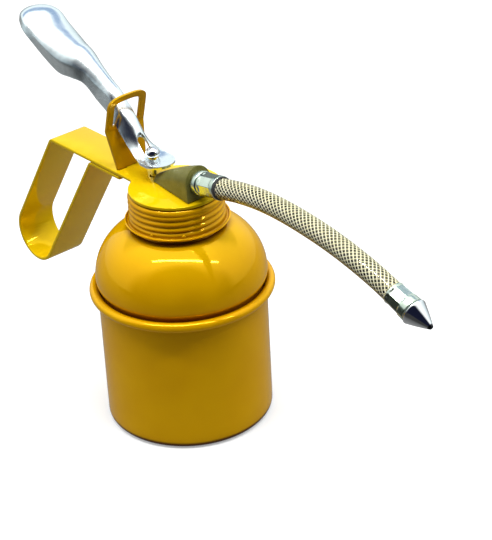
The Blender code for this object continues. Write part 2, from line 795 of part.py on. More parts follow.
def make_lever(mat, collection, cutters):
    """Lever pressed from one sheet: spoon-shaped grip, channel, nose and slotted tab."""
    sections = [lever_section(*station) for station in tab_sections() + lever_stations()]
    bm = bmesh.new()
    rows = [[bm.verts.new(point) for point in section] for section in sections]
    for first, second in zip(rows, rows[1:]):
        for i in range(LEVER_SECTION_POINTS - 1):
            bm.faces.new((first[i], first[i + 1], second[i + 1], second[i]))
    bmesh.ops.recalc_face_normals(bm, faces=bm.faces)
    if sum(face.normal.z for face in bm.faces) < 0:
        bmesh.ops.reverse_faces(bm, faces=bm.faces)
    bmesh.ops.translate(bm, verts=bm.verts, vec=-FULCRUM)
    mesh = bpy.data.meshes.new("lever")
    bm.to_mesh(mesh)
    bm.free()
    obj = bpy.data.objects.new("lever", mesh)
    obj.location = FULCRUM
    thick = obj.modifiers.new("Sheet", "SOLIDIFY")
    thick.thickness = LEVER_SHEET
    thick.offset = -1.0
    finish(obj, mat, collection)
    boolean(obj, slot_shape(cutters))
    return obj


def slot_shape(cutters):
    """Long slot in the tab, from under the plunger head up into the slope."""
    half = SLOT_WIDTH / 2
    front = ROD_X + GAP
    outline = arc((front, 0.0), half, -90, 90, 8)
    outline += arc((SLOT_BACK_X + half, 0.0), half, 90, 270, 8)
    obj = flat_shape("lever_slot", [outline], NOSE_RISE * 1.4)
    obj.location = (0.0, 0.0, TAB_TOP + NOSE_RISE * 0.25)
    return as_cutter(obj, cutters)


def make_plunger(mats, collection):
    """Plunger rod with its mushroom head, and the piston built up on its lower end."""
    contact = (SLOT_WIDTH / 2 - ROD_RADIUS) * HEAD_CONE / (HEAD_RADIUS - ROD_RADIUS)
    neck = TAB_TOP + HEAD_GAP - contact
    rim = neck + HEAD_CONE
    place = Matrix.Translation((ROD_X, 0.0, 0.0))
    profile = [(0.0, rim + HEAD_DOME)]
    for i in range(1, 7):
        angle = math.pi / 2 * i / 6
        profile.append((HEAD_RADIUS * math.sin(angle), rim + HEAD_DOME * math.cos(angle)))
    profile += [(HEAD_RADIUS, rim - 0.0003), (ROD_RADIUS, neck)]
    step = ROD_RADIUS - 0.0005
    shank = PISTON_BOTTOM + PISTON_LENGTH
    profile += [(ROD_RADIUS, shank), (step, shank), (step, ROD_BOTTOM), (0.0, ROD_BOTTOM)]
    turned("plunger_rod", profile, mats["steel"], collection, place=place)
    bore = step + GAP / 2
    top = shank - GAP / 2
    ring = ring_profile(bore, PISTON_RADIUS, PISTON_BOTTOM, top)
    turned("piston", ring, mats["brass"], collection, closed=True, place=place)
    seal_top = PISTON_BOTTOM - GAP
    seal_low = seal_top - CUP_SEAL_LENGTH
    floor_low = seal_top - CUP_SEAL_WALL
    seal = [(bore, seal_top), (PISTON_RADIUS, seal_top), (PISTON_RADIUS, seal_low)]
    seal += [(PISTON_RADIUS - CUP_SEAL_WALL * 0.8, seal_low), (PISTON_RADIUS - CUP_SEAL_WALL, floor_low)]
    seal += [(bore, floor_low)]
    turned("piston_cup", seal, mats["leather"], collection, closed=True, place=place)
    nut_top = floor_low - GAP
    nut = hex_nut("piston_nut", PISTON_NUT_FLATS, bore, nut_top - PISTON_NUT_HEIGHT, nut_top)
    nut.location = (ROD_X, 0.0, nut.location.z)
    finish(nut, mats["brass"], collection)


def hex_nut(name, flats, bore, bottom, top):
    """A hexagon nut as a flat shape with a round hole."""
    corner = flats / 2 / math.cos(math.pi / 6)
    obj = flat_shape(name, [circle(0.0, 0.0, corner, 6), circle(0.0, 0.0, bore, 16)], top - bottom)
    obj.location = (0.0, 0.0, (top + bottom) / 2)
    return obj


def make_pump_head(mat, collection, cutters):
    """Cast pump head under the cap, from the rod gland to the outlet stud."""
    wide = STUD_NUT_FLATS / 2 + 0.0008
    distance = STUD_X - ROD_X
    lean = math.degrees(math.acos(-(wide - PUMP_HEAD_END_RADIUS) / distance))
    outline = arc((STUD_X, 0.0), wide, -lean, lean, 14)
    outline += arc((ROD_X, 0.0), PUMP_HEAD_END_RADIUS, lean, 360 - lean, 12)
    obj = flat_shape("pump_head", [outline], PUMP_HEAD_TOP - PUMP_HEAD_BOTTOM)
    obj.location = (0.0, 0.0, (PUMP_HEAD_TOP + PUMP_HEAD_BOTTOM) / 2)
    finish(obj, mat, collection)
    spigot = BARREL_BORE - GAP
    low = PUMP_HEAD_BOTTOM - PUMP_SPIGOT_LENGTH
    middle = (PUMP_HEAD_BOTTOM + PUMP_HEAD_TOP) / 2
    boolean(obj, cylinder_cutter("head_spigot", spigot, (ROD_X, 0, low), (ROD_X, 0, middle), cutters), "UNION")
    seat = PUMP_HEAD_TOP - PACKING_HEIGHT - GAP
    bores = [
        ("head_packing", PACKING_RADIUS + GAP, (ROD_X, 0, seat), (ROD_X, 0, PUMP_HEAD_TOP + 0.001)),
        ("head_rod", ROD_RADIUS + 3 * GAP, (ROD_X, 0, low - 0.001), (ROD_X, 0, seat + 0.001)),
        ("head_stud", STUD_RADIUS + GAP, (STUD_X, 0, PUMP_HEAD_BOTTOM - 0.001), (STUD_X, 0, PUMP_HEAD_TOP + 0.001)),
        ("head_passage", PASSAGE_RADIUS, (ROD_X, 0, PASSAGE_Z), (STUD_X, 0, PASSAGE_Z)),
    ]
    for name, radius, start, end in bores:
        boolean(obj, cylinder_cutter(name, radius, start, end, cutters, 16))
    return obj


def make_pump(mats, collection):
    """Barrel, packing, foot valve, suction tube and return spring on the rod's axis."""
    place = Matrix.Translation((ROD_X, 0.0, 0.0))
    outer = BARREL_BORE + BARREL_WALL
    barrel = ring_profile(BARREL_BORE, outer, BARREL_BOTTOM, PUMP_HEAD_BOTTOM - GAP)
    turned("pump_barrel", barrel, mats["brass"], collection, closed=True, place=place)
    packing_top = PUMP_HEAD_TOP - GAP
    packing = ring_profile(ROD_RADIUS + GAP, PACKING_RADIUS, packing_top - PACKING_HEIGHT + GAP, packing_top)
    turned("rod_packing", packing, mats["rubber"], collection, closed=True, place=place)
    flange_top = BARREL_BOTTOM - GAP
    flange_low = flange_top - FOOT_VALVE_HEIGHT
    spigot_top = BARREL_BOTTOM + 0.0023
    seat = flange_low + 0.0026
    throat = SUCTION_RADIUS - SUCTION_WALL - 0.0004
    cage = FOOT_BALL_RADIUS + 0.0005
    socket = SUCTION_RADIUS + GAP
    valve = [(cage, spigot_top), (BARREL_BORE - GAP, spigot_top), (BARREL_BORE - GAP, flange_top)]
    valve += [(outer, flange_top), (outer, flange_low), (socket, flange_low), (socket, flange_low + 0.0017)]
    valve += [(throat, flange_low + 0.0017), (throat, seat), (cage, seat + (cage - throat))]
    turned("foot_valve", valve, mats["brass"], collection, closed=True, place=place)
    lift = (FOOT_BALL_RADIUS + GAP) * math.sqrt(2) - throat
    ball_center = seat + lift
    turned("foot_ball", ball_profile(FOOT_BALL_RADIUS, ball_center), mats["steel"], collection, 14, place=place)
    tube_top = flange_low + 0.0017 - GAP
    tube = ring_profile(SUCTION_RADIUS - SUCTION_WALL, SUCTION_RADIUS, SUCTION_BOTTOM, tube_top)
    turned("suction_tube", tube, mats["steel"], collection, closed=True, place=place)
    bottom = PISTON_BOTTOM + PISTON_LENGTH + GAP + SPRING_WIRE / 2
    top = PUMP_HEAD_BOTTOM - PUMP_SPIGOT_LENGTH - GAP - SPRING_WIRE / 2
    coil("return_spring", SPRING_RADIUS, SPRING_WIRE, SPRING_TURNS, bottom, top, place, mats["steel"], collection)


def ball_profile(radius, center, count=8):
    """Half circle from the top of a ball to its bottom."""
    points = [(radius * math.sin(math.pi * i / count), center + radius * math.cos(math.pi * i / count))
              for i in range(count + 1)]
    points[0] = (0.0, center + radius)
    points[-1] = (0.0, center - radius)
    return points


def coil(name, radius, wire, turns, bottom, top, place, mat, collection, per_turn=10):
    """A helical spring along local Z."""
    curve = bpy.data.curves.new(name, "CURVE")
    curve.dimensions = "3D"
    curve.bevel_depth = wire / 2
    curve.bevel_resolution = 1
    curve.use_fill_caps = True
    count = turns * per_turn
    spline = curve.splines.new("POLY")
    spline.points.add(count)
    for i, point in enumerate(spline.points):
        angle = 2 * math.pi * i / per_turn
        z = bottom + (top - bottom) * i / count
        point.co = (radius * math.cos(angle), radius * math.sin(angle), z, 1.0)
    obj = bpy.data.objects.new(name, curve)
    obj.matrix_world = place
    return finish(obj, mat, collection)


def block_section(x, half_width, height, tilt):
    """Arched section of the outlet block, flat on the plate, its sides leaning inwards."""
    base = PLATE_TOP + GAP
    arch_width = half_width * BLOCK_ARCH
    straight = max(height - arch_width, 0.0008)
    crown = height - straight
    points = [(half_width, 0.0), (arch_width, straight)]
    for i in range(1, 8):
        angle = math.pi * i / 8
        points.append((arch_width * math.cos(angle), straight + crown * math.sin(angle)))
    points += [(-arch_width, straight), (-half_width, 0.0)]
    return [Vector((x - up * tilt, across, base + up)) for across, up in points]


def make_block(mat, collection, cutters):
    """Cast outlet block: an arched wedge on the plate, with a hollow stud below it."""
    bm = bmesh.new()
    rows = []
    rear = [(BLOCK_REAR_X - 0.0012, 0.45, 0.62), (BLOCK_REAR_X - 0.0007, 0.80, 0.86)]
    for x, narrow, low in rear:
        section = block_section(x, BLOCK_REAR_HALF_WIDTH * narrow, BLOCK_REAR_HEIGHT * low, 0.0)
        rows.append([bm.verts.new(point) for point in section])
    for i in range(BLOCK_STATIONS):
        share = i / (BLOCK_STATIONS - 1)
        x = BLOCK_REAR_X + (BLOCK_FACE_X - BLOCK_REAR_X) * share
        half_width = BLOCK_REAR_HALF_WIDTH + (BLOCK_FACE_HALF_WIDTH - BLOCK_REAR_HALF_WIDTH) * share
        climb = share * (1 + BLOCK_SWELL * (1 - share))
        height = BLOCK_REAR_HEIGHT + (BLOCK_FACE_HEIGHT - BLOCK_REAR_HEIGHT) * climb
        tilt = math.tan(OUTLET_TILT) * share
        foot = x + OUTLET_RISE * tilt
        section = block_section(foot, half_width, height, tilt)
        rows.append([bm.verts.new(point) for point in section])
    for first, second in zip(rows, rows[1:]):
        count = len(first)
        for i in range(count):
            j = (i + 1) % count
            bm.faces.new((first[i], first[j], second[j], second[i]))
    bm.faces.new(rows[0])
    bm.faces.new(rows[-1])
    bmesh.ops.recalc_face_normals(bm, faces=bm.faces)
    mesh = bpy.data.meshes.new("outlet_block")
    bm.to_mesh(mesh)
    bm.free()
    obj = finish(bpy.data.objects.new("outlet_block", mesh), mat, collection)
    stud_top = PLATE_TOP + 0.003
    stud = cylinder_cutter("block_stud", STUD_RADIUS, (STUD_X, 0, STUD_BOTTOM), (STUD_X, 0, stud_top), cutters)
    boolean(obj, stud, "UNION")
    chamber = outlet_at(-VALVE_CHAMBER_DEPTH)
    mouth = outlet_at(0.002)
    meeting = outlet_at((STUD_X - BLOCK_FACE_X) / math.cos(OUTLET_TILT))
    port_end = (STUD_X - STUD_RADIUS - 0.001, 0, PASSAGE_Z)
    bores = [
        ("block_thread", FITTING_THREAD + GAP, outlet_at(-FITTING_DEPTH - GAP), mouth),
        ("block_chamber", VALVE_CHAMBER, chamber, outlet_at(-FITTING_DEPTH + 0.001)),
        ("block_passage", STUD_BORE, meeting, outlet_at(-VALVE_CHAMBER_DEPTH + 0.001)),
        ("stud_bore", STUD_BORE, (STUD_X, 0, PASSAGE_Z - STUD_BORE), meeting),
        ("stud_port", PASSAGE_RADIUS, port_end, (STUD_X, 0, PASSAGE_Z)),
    ]
    for name, radius, start, end in bores:
        boolean(obj, cylinder_cutter(name, radius, start, end, cutters, 16))
    return obj


def outlet_at(distance):
    """Point on the outlet axis, measured outwards from the block's face."""
    return OUTLET_POINT + distance * OUTLET_DIRECTION


def frame_along(point, direction):
    """Placement whose local Z runs along a direction in the XZ plane."""
    across = Vector((0.0, 1.0, 0.0))
    side = across.cross(direction)
    turn = Matrix((side, across, direction)).transposed().to_4x4()
    return Matrix.Translation(point) @ turn


def make_block_fasteners(mats, collection):
    """Washer and nut that clamp the block, plate, cap and pump head together."""
    place = Matrix.Translation((STUD_X, 0.0, 0.0))
    washer_top = PUMP_HEAD_BOTTOM - GAP
    bore = STUD_RADIUS + GAP
    washer = ring_profile(bore, STUD_NUT_FLATS / 2, washer_top - STUD_WASHER, washer_top)
    turned("stud_washer", washer, mats["rubber"], collection, closed=True, place=place)
    nut_top = washer_top - STUD_WASHER - GAP
    nut = hex_nut("stud_nut", STUD_NUT_FLATS, bore, nut_top - STUD_NUT_HEIGHT, nut_top)
    nut.location.x = STUD_X
    finish(nut, mats["brass"], collection)


def make_discharge_valve(mats, collection):
    """Ball and spring that stop the oil from running back out of the hose."""
    place = frame_along(OUTLET_POINT, OUTLET_DIRECTION)
    center = -VALVE_CHAMBER_DEPTH + DISCHARGE_BALL_RADIUS + GAP
    ball = ball_profile(DISCHARGE_BALL_RADIUS, center)
    turned("discharge_ball", ball, mats["steel"], collection, 14, place=place)
    bottom = center + DISCHARGE_BALL_RADIUS + GAP + VALVE_SPRING_WIRE / 2
    top = -GAP - VALVE_SPRING_WIRE / 2
    sizes = (VALVE_SPRING_RADIUS, VALVE_SPRING_WIRE, VALVE_SPRING_TURNS)
    coil("discharge_spring", *sizes, bottom, top, place, mats["steel"], collection, per_turn=8)


def make_hose_base(mats, collection):
    """Threaded fitting with its collar, and the ferrule crimped on the hose."""
    place = frame_along(OUTLET_POINT, OUTLET_DIRECTION)
    low = GAP
    collar_top = low + FITTING_COLLAR_LENGTH
    tail_top = collar_top + BASE_FERRULE_LENGTH - 0.0010
    seat = VALVE_SPRING_RADIUS + VALVE_SPRING_WIRE / 2 + GAP
    bevel = 0.0006
    profile = [(FITTING_BORE, tail_top), (FITTING_TAIL, tail_top), (FITTING_TAIL, collar_top)]
    profile += [(FITTING_COLLAR - bevel, collar_top), (FITTING_COLLAR, collar_top - bevel)]
    profile += [(FITTING_COLLAR, low + bevel), (FITTING_COLLAR - bevel, low), (FITTING_THREAD, low)]
    profile += [(FITTING_THREAD, -FITTING_DEPTH), (seat, -FITTING_DEPTH), (seat, 0.0), (FITTING_BORE, 0.0)]
    turned("hose_fitting", profile, mats["chrome"], collection, 24, closed=True, place=place)
    start = collar_top + GAP
    end = start + BASE_FERRULE_LENGTH
    inner = FITTING_TAIL + GAP
    ferrule = ferrule_profile(start, end, FERRULE_RADIUS, FERRULE_RADIUS, inner)
    turned("base_ferrule", ferrule, mats["chrome"], collection, 24, closed=True, place=place)


def ferrule_profile(start, end, start_radius, end_radius, inner):
    """A sleeve, straight or tapered, that is drawn in between its two ends."""
    bevel = 0.0005
    waist = (end - start) * 0.25

    def ring(place, depth):
        share = (place - start) / (end - start)
        return start_radius + (end_radius - start_radius) * share - depth, place

    profile = [(inner, end), ring(end, bevel), ring(end - bevel, 0.0), ring(end - waist * 0.6, 0.0)]
    profile += [ring(end - waist, FERRULE_CRIMP), ring(start + waist, FERRULE_CRIMP)]
    profile += [ring(start + waist * 0.6, 0.0), ring(start + bevel, 0.0), ring(start, bevel)]
    return profile + [(inner, start)]


def hose_points():
    """Route of the hose's middle, from the base ferrule to the tip ferrule."""
    first = outlet_at(hose_start())
    lead = outlet_at(hose_start() + 0.0040)
    return [first, lead] + [OUTLET_POINT + Vector((x, 0.0, z)) for x, z in HOSE_ROUTE]


def hose_start():
    """Distance from the block's face to where the hose leaves the base ferrule."""
    return GAP + FITTING_COLLAR_LENGTH + GAP + BASE_FERRULE_LENGTH + GAP


def smooth_route(points, per_span):
    """A smooth curve through the points, sampled evenly between each pair."""
    padded = [2 * points[0] - points[1]] + points + [2 * points[-1] - points[-2]]
    route = []
    for i in range(1, len(padded) - 2):
        before, start, end, after = padded[i - 1:i + 3]
        for step in range(per_span):
            t = step / per_span
            bent = 2 * start + (end - before) * t
            bent = bent + (2 * before - 5 * start + 4 * end - after) * t ** 2
            route.append((bent + (3 * start - before - 3 * end + after) * t ** 3) / 2)
    route.append(points[-1])
    return route


def make_hose(mats, collection):
    """Hose, tip ferrule and conical nozzle along the hand-chosen route."""
    points = hose_points()
    route = smooth_route(points, 1)
    curve = bpy.data.curves.new("hose", "CURVE")
    curve.dimensions = "3D"
    curve.bevel_depth = HOSE_DIAMETER / 2
    curve.bevel_resolution = 4
    curve.use_fill_caps = True
    spline = curve.splines.new("POLY")
    spline.points.add(len(route) - 1)
    for point, place in zip(spline.points, route):
        point.co = (*place, 1.0)
    finish(bpy.data.objects.new("hose", curve), mats["braid"], collection)
    direction = (route[-1] - route[-2]).normalized()
    place = frame_along(route[-1], direction)
    start = GAP
    end = start + TIP_FERRULE_LENGTH
    bore = FITTING_TAIL + GAP
    ferrule = ferrule_profile(start, end, TIP_FERRULE_MOUTH, TIP_FERRULE_RADIUS, bore)
    turned("tip_ferrule", ferrule, mats["chrome"], collection, 24, closed=True, place=place)
    base = end + GAP
    tip = base + NOZZLE_CONE
    bead = 0.0008
    nozzle = [(NOZZLE_BORE, tip), (NOZZLE_TIP_RADIUS * 0.8, tip), (NOZZLE_TIP_RADIUS, tip - 0.0004)]
    nozzle += [(NOZZLE_RADIUS, base + bead), (NOZZLE_RADIUS - 0.0003, base), (FITTING_TAIL, base)]
    nozzle += [(FITTING_TAIL, start + 0.0010), (NOZZLE_BORE, start + 0.0010)]
    turned("nozzle_tip", nozzle, mats["chrome"], collection, 24, closed=True, place=place)


def make_materials():
    return {
        "paint": material("yellow_paint", (0.82, 0.46, 0.01), 0.28, 0.0),
        "aluminium": material("polished_aluminium", (0.82, 0.84, 0.86), 0.22, 1.0),
        "steel": material("bright_steel", (0.62, 0.62, 0.61), 0.25, 1.0),
        "chrome": material("plated_metal", (0.75, 0.76, 0.75), 0.14, 1.0),
        "brass": material("pump_brass", (0.72, 0.52, 0.22), 0.32, 1.0),
        "zinc": material("cast_zinc", (0.20, 0.19, 0.09), 0.48, 0.4),
        "rubber": material("black_rubber", (0.03, 0.03, 0.03), 0.75, 0.0),
        "leather": material("cup_leather", (0.25, 0.14, 0.07), 0.80, 0.0),
        "braid": material("braided_sleeve", (0.80, 0.76, 0.62), 0.35, 0.3),
    }


def main():
    clear_scene()
    mats = make_materials()
    parts = new_collection("oil_can")
    cutters = new_collection("oil_can_cutters")
    make_cup(mats["paint"], parts)
    make_dome(mats["paint"], parts)
    make_cap(mats["paint"], parts, cutters)
    make_gasket(mats["rubber"], parts)
    make_strap(mats["paint"], parts, cutters)
    make_stirrup(mats["paint"], parts)
    make_lever(mats["aluminium"], parts, cutters)
    make_plunger(mats, parts)
    make_pump_head(mats["zinc"], parts, cutters)
    make_pump(mats, parts)
    make_block(mats["zinc"], parts, cutters)
    make_block_fasteners(mats, parts)
    make_discharge_valve(mats, parts)
    make_hose_base(mats, parts)
    make_hose(mats, parts)


main()
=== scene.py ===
"""Looks of the thumb-lever oil can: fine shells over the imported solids, materials, light."""
import math

import bmesh
import bpy
from mathutils import Matrix, Vector


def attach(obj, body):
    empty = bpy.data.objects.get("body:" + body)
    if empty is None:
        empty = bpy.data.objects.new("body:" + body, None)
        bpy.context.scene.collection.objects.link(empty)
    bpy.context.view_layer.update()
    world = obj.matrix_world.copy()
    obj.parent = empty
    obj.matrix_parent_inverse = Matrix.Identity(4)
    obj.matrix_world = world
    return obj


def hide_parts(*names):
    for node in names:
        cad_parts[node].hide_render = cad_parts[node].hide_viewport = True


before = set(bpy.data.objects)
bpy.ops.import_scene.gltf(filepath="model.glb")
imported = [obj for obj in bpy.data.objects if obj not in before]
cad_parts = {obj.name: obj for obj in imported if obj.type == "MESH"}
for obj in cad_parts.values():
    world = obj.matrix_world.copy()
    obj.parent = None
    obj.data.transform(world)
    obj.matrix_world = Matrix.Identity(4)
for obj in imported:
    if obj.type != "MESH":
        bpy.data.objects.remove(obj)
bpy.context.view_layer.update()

# Sizes that the solids have, in metres
GAP = 0.0003
CAN_SHEET = 0.0007
CUP_RADIUS = 0.0376
CUP_CORNER = 0.0024
RIM_HEIGHT = 0.0636
RIM_CURL = 0.00185
SKIRT_BOTTOM = 0.0525
DOME_RADIUS = 0.0381
DOME_SPRING = 0.0700
SHOULDER_TOP = 0.0934
SHOULDER_FULLNESS = 1.30
NECK_TOP = 0.1069
THREAD_PITCH = 0.0028
THREAD_DEPTH = 0.0009
THREAD_FADE = 0.0016
NECK_CREST = 0.02025
NECK_SHEET = 0.0006
CAP_SHEET = 0.0006
CAP_TOP_CORNER = 0.0016
CAP_LIP_HEIGHT = 0.0962
CAP_LIP_CURL = 0.0010
GASKET_THICKNESS = 0.0015
STRAP_SHEET = 0.0015
STRAP_WIDTH = 0.0195
DISC_RADIUS = 0.0207
DISC_FILLET = 0.0035
STRAP_BEND_X = -0.0775
STRAP_BEND_RADIUS = 0.0030
HANDLE_LEAN = math.radians(33.3)
HANDLE_LEG = 0.0580
HANDLE_LOOP_RADIUS = 0.0129
FOOT_BEND_RADIUS = 0.0028
FOOT_LENGTH = 0.0205
FOOT_CORNER = 0.0012
STIRRUP_SHEET = 0.0016
STIRRUP_X = -0.0308
STIRRUP_BASE_WIDTH = 0.0158
STIRRUP_WIDTH = 0.0206
STIRRUP_KINK_X = -0.0338
STIRRUP_KINK_RISE = 0.0180
STIRRUP_KINK_SPREAD = 0.0016
STIRRUP_TOP_X = -0.0292
STIRRUP_SHOULDER_RISE = 0.0290
STIRRUP_RISE = 0.0346
STIRRUP_FULLNESS = 0.66
WINDOW_WIDTH = 0.0142
WINDOW_SILL_RISE = 0.0200
WINDOW_SHOULDER_RISE = 0.0285
WINDOW_TOP_RISE = 0.0318
TENON_WIDTH = 0.0040
TENON_SPREAD = 0.0055
TENON_PROUD = 0.0006
LEVER_SHEET = 0.0012
TAB_TIP_X = -0.0036
TAB_HALF_WIDTH = 0.0075
TAB_RISE = 0.0088
NOSE_START_X = -0.0142
NOSE_RISE = 0.0182
NOSE_EDGE_RISE = 0.0100
CHANNEL_HALF_WIDTH = 0.0056
GRIP_LENGTH = 0.06735
GRIP_START_RISE = 0.0212
GRIP_RISE = 0.0258
GRIP_EDGE_RISE = 0.0320
GRIP_HALF_WIDTH = 0.0110
SLOT_WIDTH = 0.0046
SLOT_BACK_X = -0.0234
ROD_X = -0.0146
ROD_RADIUS = 0.0015
ROD_END = 0.0636
ROD_STEP = 0.0756
HEAD_RADIUS = 0.0032
HEAD_CONE = 0.0026
HEAD_DOME = 0.0029
HEAD_GAP = 0.00065
BLOCK_REAR_X = -0.0098
BLOCK_FACE_X = 0.0163
BLOCK_REAR_HALF_WIDTH = 0.0042
BLOCK_FACE_HALF_WIDTH = 0.0074
BLOCK_REAR_HEIGHT = 0.0030
BLOCK_FACE_HEIGHT = 0.0145
BLOCK_ARCH = 0.90
BLOCK_SWELL = 0.30
OUTLET_RISE = 0.0075
OUTLET_TILT = math.radians(9.0)
STUD_X = 0.0045
STUD_RADIUS = 0.0035
STUD_LENGTH = 0.0190
FITTING_COLLAR = 0.0054
FITTING_COLLAR_LENGTH = 0.0036
FITTING_TAIL = 0.0023
FITTING_TAIL_LENGTH = 0.0090
FITTING_BORE = 0.0012
FITTING_THREAD = 0.0034
FITTING_DEPTH = 0.0058
FERRULE_RADIUS = 0.0053
BASE_FERRULE_LENGTH = 0.0100
HOSE_DIAMETER = 0.0091
TIP_FERRULE_LENGTH = 0.0112
TIP_FERRULE_RADIUS = 0.0054
TIP_FERRULE_MOUTH = 0.0049
NOZZLE_CONE = 0.0104
NOZZLE_RADIUS = 0.0057
NOZZLE_TIP_RADIUS = 0.0011
NOZZLE_BORE = 0.0006
HOSE_ROUTE = [
    (0.0267, 0.0045), (0.0367, 0.0057), (0.0467, 0.0061), (0.0567, 0.0058), (0.0667, 0.0049),
    (0.0767, 0.0036), (0.0867, 0.0018), (0.0965, -0.0005), (0.1063, -0.0033), (0.1154, -0.0065),
]

# Sizes that only the looks have
THREAD_ROUNDNESS = 0.8
LEVER_CREST_WIDTH = 0.68
LEVER_CREST_DEPTH = 0.30
NOSE_CREST_NARROWING = 0.20
COLLAR_CORNER = 0.0006
SLEEVE_CORNER = 0.00045
SLEEVE_OVERLAP = 0.0011
NOZZLE_LAND = 0.0008
CORE_RADIUS = 0.00350
BRAID_STRANDS = 13
BRAID_LEAD = 0.0285
UNDER_RADIUS = 0.00376
UNDER_HALF_WIDTH = 0.00019
OVER_RADIUS = 0.00401
OVER_HALF_WIDTH = 0.00024
STRAND_HALF_THICKNESS = 0.00012
ROUND_STEPS = 180
FITTING_STEPS = 96
SLEEVE_STEPS = 160

# Light: watts of the long lamp, and brightness of the sky overhead
TUBE_POWER = 11.5
SKY_TOP = 1.85
NEAR_HORIZON = (0.014, 0.018, 0.040)
FAR_HORIZON = (0.620, 0.720, 0.760)

# Values that follow from the sizes above
RIM_TOP = RIM_HEIGHT + RIM_CURL + CAN_SHEET / 2
NECK_ROOT = NECK_CREST - THREAD_DEPTH
NECK_THREAD_BOTTOM = SHOULDER_TOP + 0.0018
CAP_CREST = NECK_CREST + GAP + 0.00005 + CAP_SHEET
CAP_TOP = NECK_TOP + GAP + GASKET_THICKNESS + GAP + CAP_SHEET
PLATE_BOTTOM = CAP_TOP + GAP
PLATE_TOP = PLATE_BOTTOM + STRAP_SHEET
FOOT_BOTTOM = PLATE_BOTTOM - GAP - STRAP_SHEET
ROD_HOLE = ROD_RADIUS + 2 * GAP
STIRRUP_BASE = PLATE_TOP + GAP
STIRRUP_KINK = PLATE_TOP + STIRRUP_KINK_RISE
FORWARD_LEAN = (STIRRUP_TOP_X - STIRRUP_KINK_X) / (STIRRUP_RISE - STIRRUP_KINK_RISE)
FULCRUM_X = STIRRUP_KINK_X + FORWARD_LEAN * (WINDOW_SILL_RISE - STIRRUP_KINK_RISE)
FULCRUM_FRONT = FULCRUM_X + STIRRUP_SHEET
NOTCH_TOP = PLATE_TOP + WINDOW_SILL_RISE + GAP
TAB_TOP = PLATE_TOP + TAB_RISE
OUTLET_DIRECTION = Vector((math.cos(OUTLET_TILT), 0.0, math.sin(OUTLET_TILT)))
OUTLET_POINT = Vector((BLOCK_FACE_X, 0.0, PLATE_TOP + OUTLET_RISE))
HOSE_START = GAP + FITTING_COLLAR_LENGTH + GAP + BASE_FERRULE_LENGTH + GAP


def placed(name, data):
    """A new object, linked to the scene."""
    obj = bpy.data.objects.new(name, data)
    bpy.context.scene.collection.objects.link(obj)
    return obj


def make_camera():
    """Camera at the photograph's place, turn and focal length."""
    data = bpy.data.cameras.new("camera")
    camera = placed("camera", data)
    right = Vector((0.65599355, 0.75336487, -0.04597636))
    up = Vector((-0.34426476, 0.35286577, 0.87003881))
    back = Vector((0.67168016, -0.55491181, 0.49083464))
    turn = Matrix((right, up, back)).transposed().to_4x4()
    camera.matrix_world = Matrix.Translation((0.56459013, -0.42954208, 0.467372)) @ turn
    data.sensor_width = 36.0
    data.lens = 122.56
    data.clip_start = 0.01
    data.clip_end = 20.0
    bpy.context.scene.camera = camera


# Lines and profiles

def arc(center, radius, start, end, count):
    """Points on an arc in a plane, with angles in degrees."""
    points = []
    for i in range(count + 1):
        angle = math.radians(start + (end - start) * i / count)
        points.append((center[0] + radius * math.cos(angle), center[1] + radius * math.sin(angle)))
    return points


def sheet_profile(path, thickness, on_axis=False):
    """Both faces of a sheet along its middle line: left side forward, right side back."""
    left = []
    right = []
    last = len(path) - 1
    for i, point in enumerate(path):
        here = Vector(point)
        first = (here - Vector(path[i - 1])) if i > 0 else (Vector(path[1]) - here)
        first = first.normalized()
        second = (Vector(path[i + 1]) - here).normalized() if i < last else first
        normal = Vector((-first.y - second.y, first.x + second.x)).normalized()
        stretch = 1.0 / max(normal.dot(Vector((-first.y, first.x))), 0.5)
        offset = normal * thickness / 2 * stretch
        left.append(here + offset)
        right.append(here - offset)
    if on_axis:
        left[0].x = 0.0
        right[0].x = 0.0
    return left + right[::-1]


def smooth_path(points, per_span):
    """A smooth open line through points of any number of values."""
    rows = [Vector(p) for p in points]
    padded = [2 * rows[0] - rows[1]] + rows + [2 * rows[-1] - rows[-2]]
    route = []
    for i in range(1, len(padded) - 2):
        before, start, end, after = padded[i - 1:i + 3]
        for step in range(per_span):
            t = step / per_span
            bent = 2 * start + (end - before) * t
            bent = bent + (2 * before - 5 * start + 4 * end - after) * t ** 2
            route.append((bent + (3 * start - before - 3 * end + after) * t ** 3) / 2)
    route.append(rows[-1])
    return route


def line_length(line):
    return sum((b - a).length for a, b in zip(line, line[1:]))


def even_line(line, step):
    """The same line with its points one step apart."""
    total = line_length(line)
    count = round(total / step)
    marks = [0.0]
    for a, b in zip(line, line[1:]):
        marks.append(marks[-1] + (b - a).length)
    result = []
    k = 0
    for i in range(count + 1):
        want = total * i / count
        while k < len(line) - 2 and marks[k + 1] < want:
            k += 1
        share = (want - marks[k]) / (marks[k + 1] - marks[k])
        result.append(line[k].lerp(line[k + 1], min(1.0, share)))
    return result


def eased(share):
    """A share held from 0 to 1, with soft ends."""
    share = max(0.0, min(1.0, share))
    return share * share * (3 - 2 * share)


# Meshes and objects

def turn_out(bm):
    """Turn all faces of a closed mesh outwards."""
    bmesh.ops.recalc_face_normals(bm, faces=bm.faces)
    if all(edge.is_manifold for edge in bm.edges) and bm.calc_volume(signed=True) < 0:
        bmesh.ops.reverse_faces(bm, faces=bm.faces)


def smooth(mesh, sharp):
    """Smooth shading, with edges past an angle in degrees left sharp."""
    mesh.shade_smooth()
    mesh.set_sharp_from_angle(angle=math.radians(sharp))


def solid(bm, name, mat=None, sharp=40, outwards=True):
    """An object from mesh data: a piece where it has a material, else a tool for cuts."""
    if outwards:
        turn_out(bm)
    mesh = bpy.data.meshes.new(name)
    bm.to_mesh(mesh)
    bm.free()
    if mat:
        mesh.materials.append(mat)
        smooth(mesh, sharp)
    return placed(name, mesh)


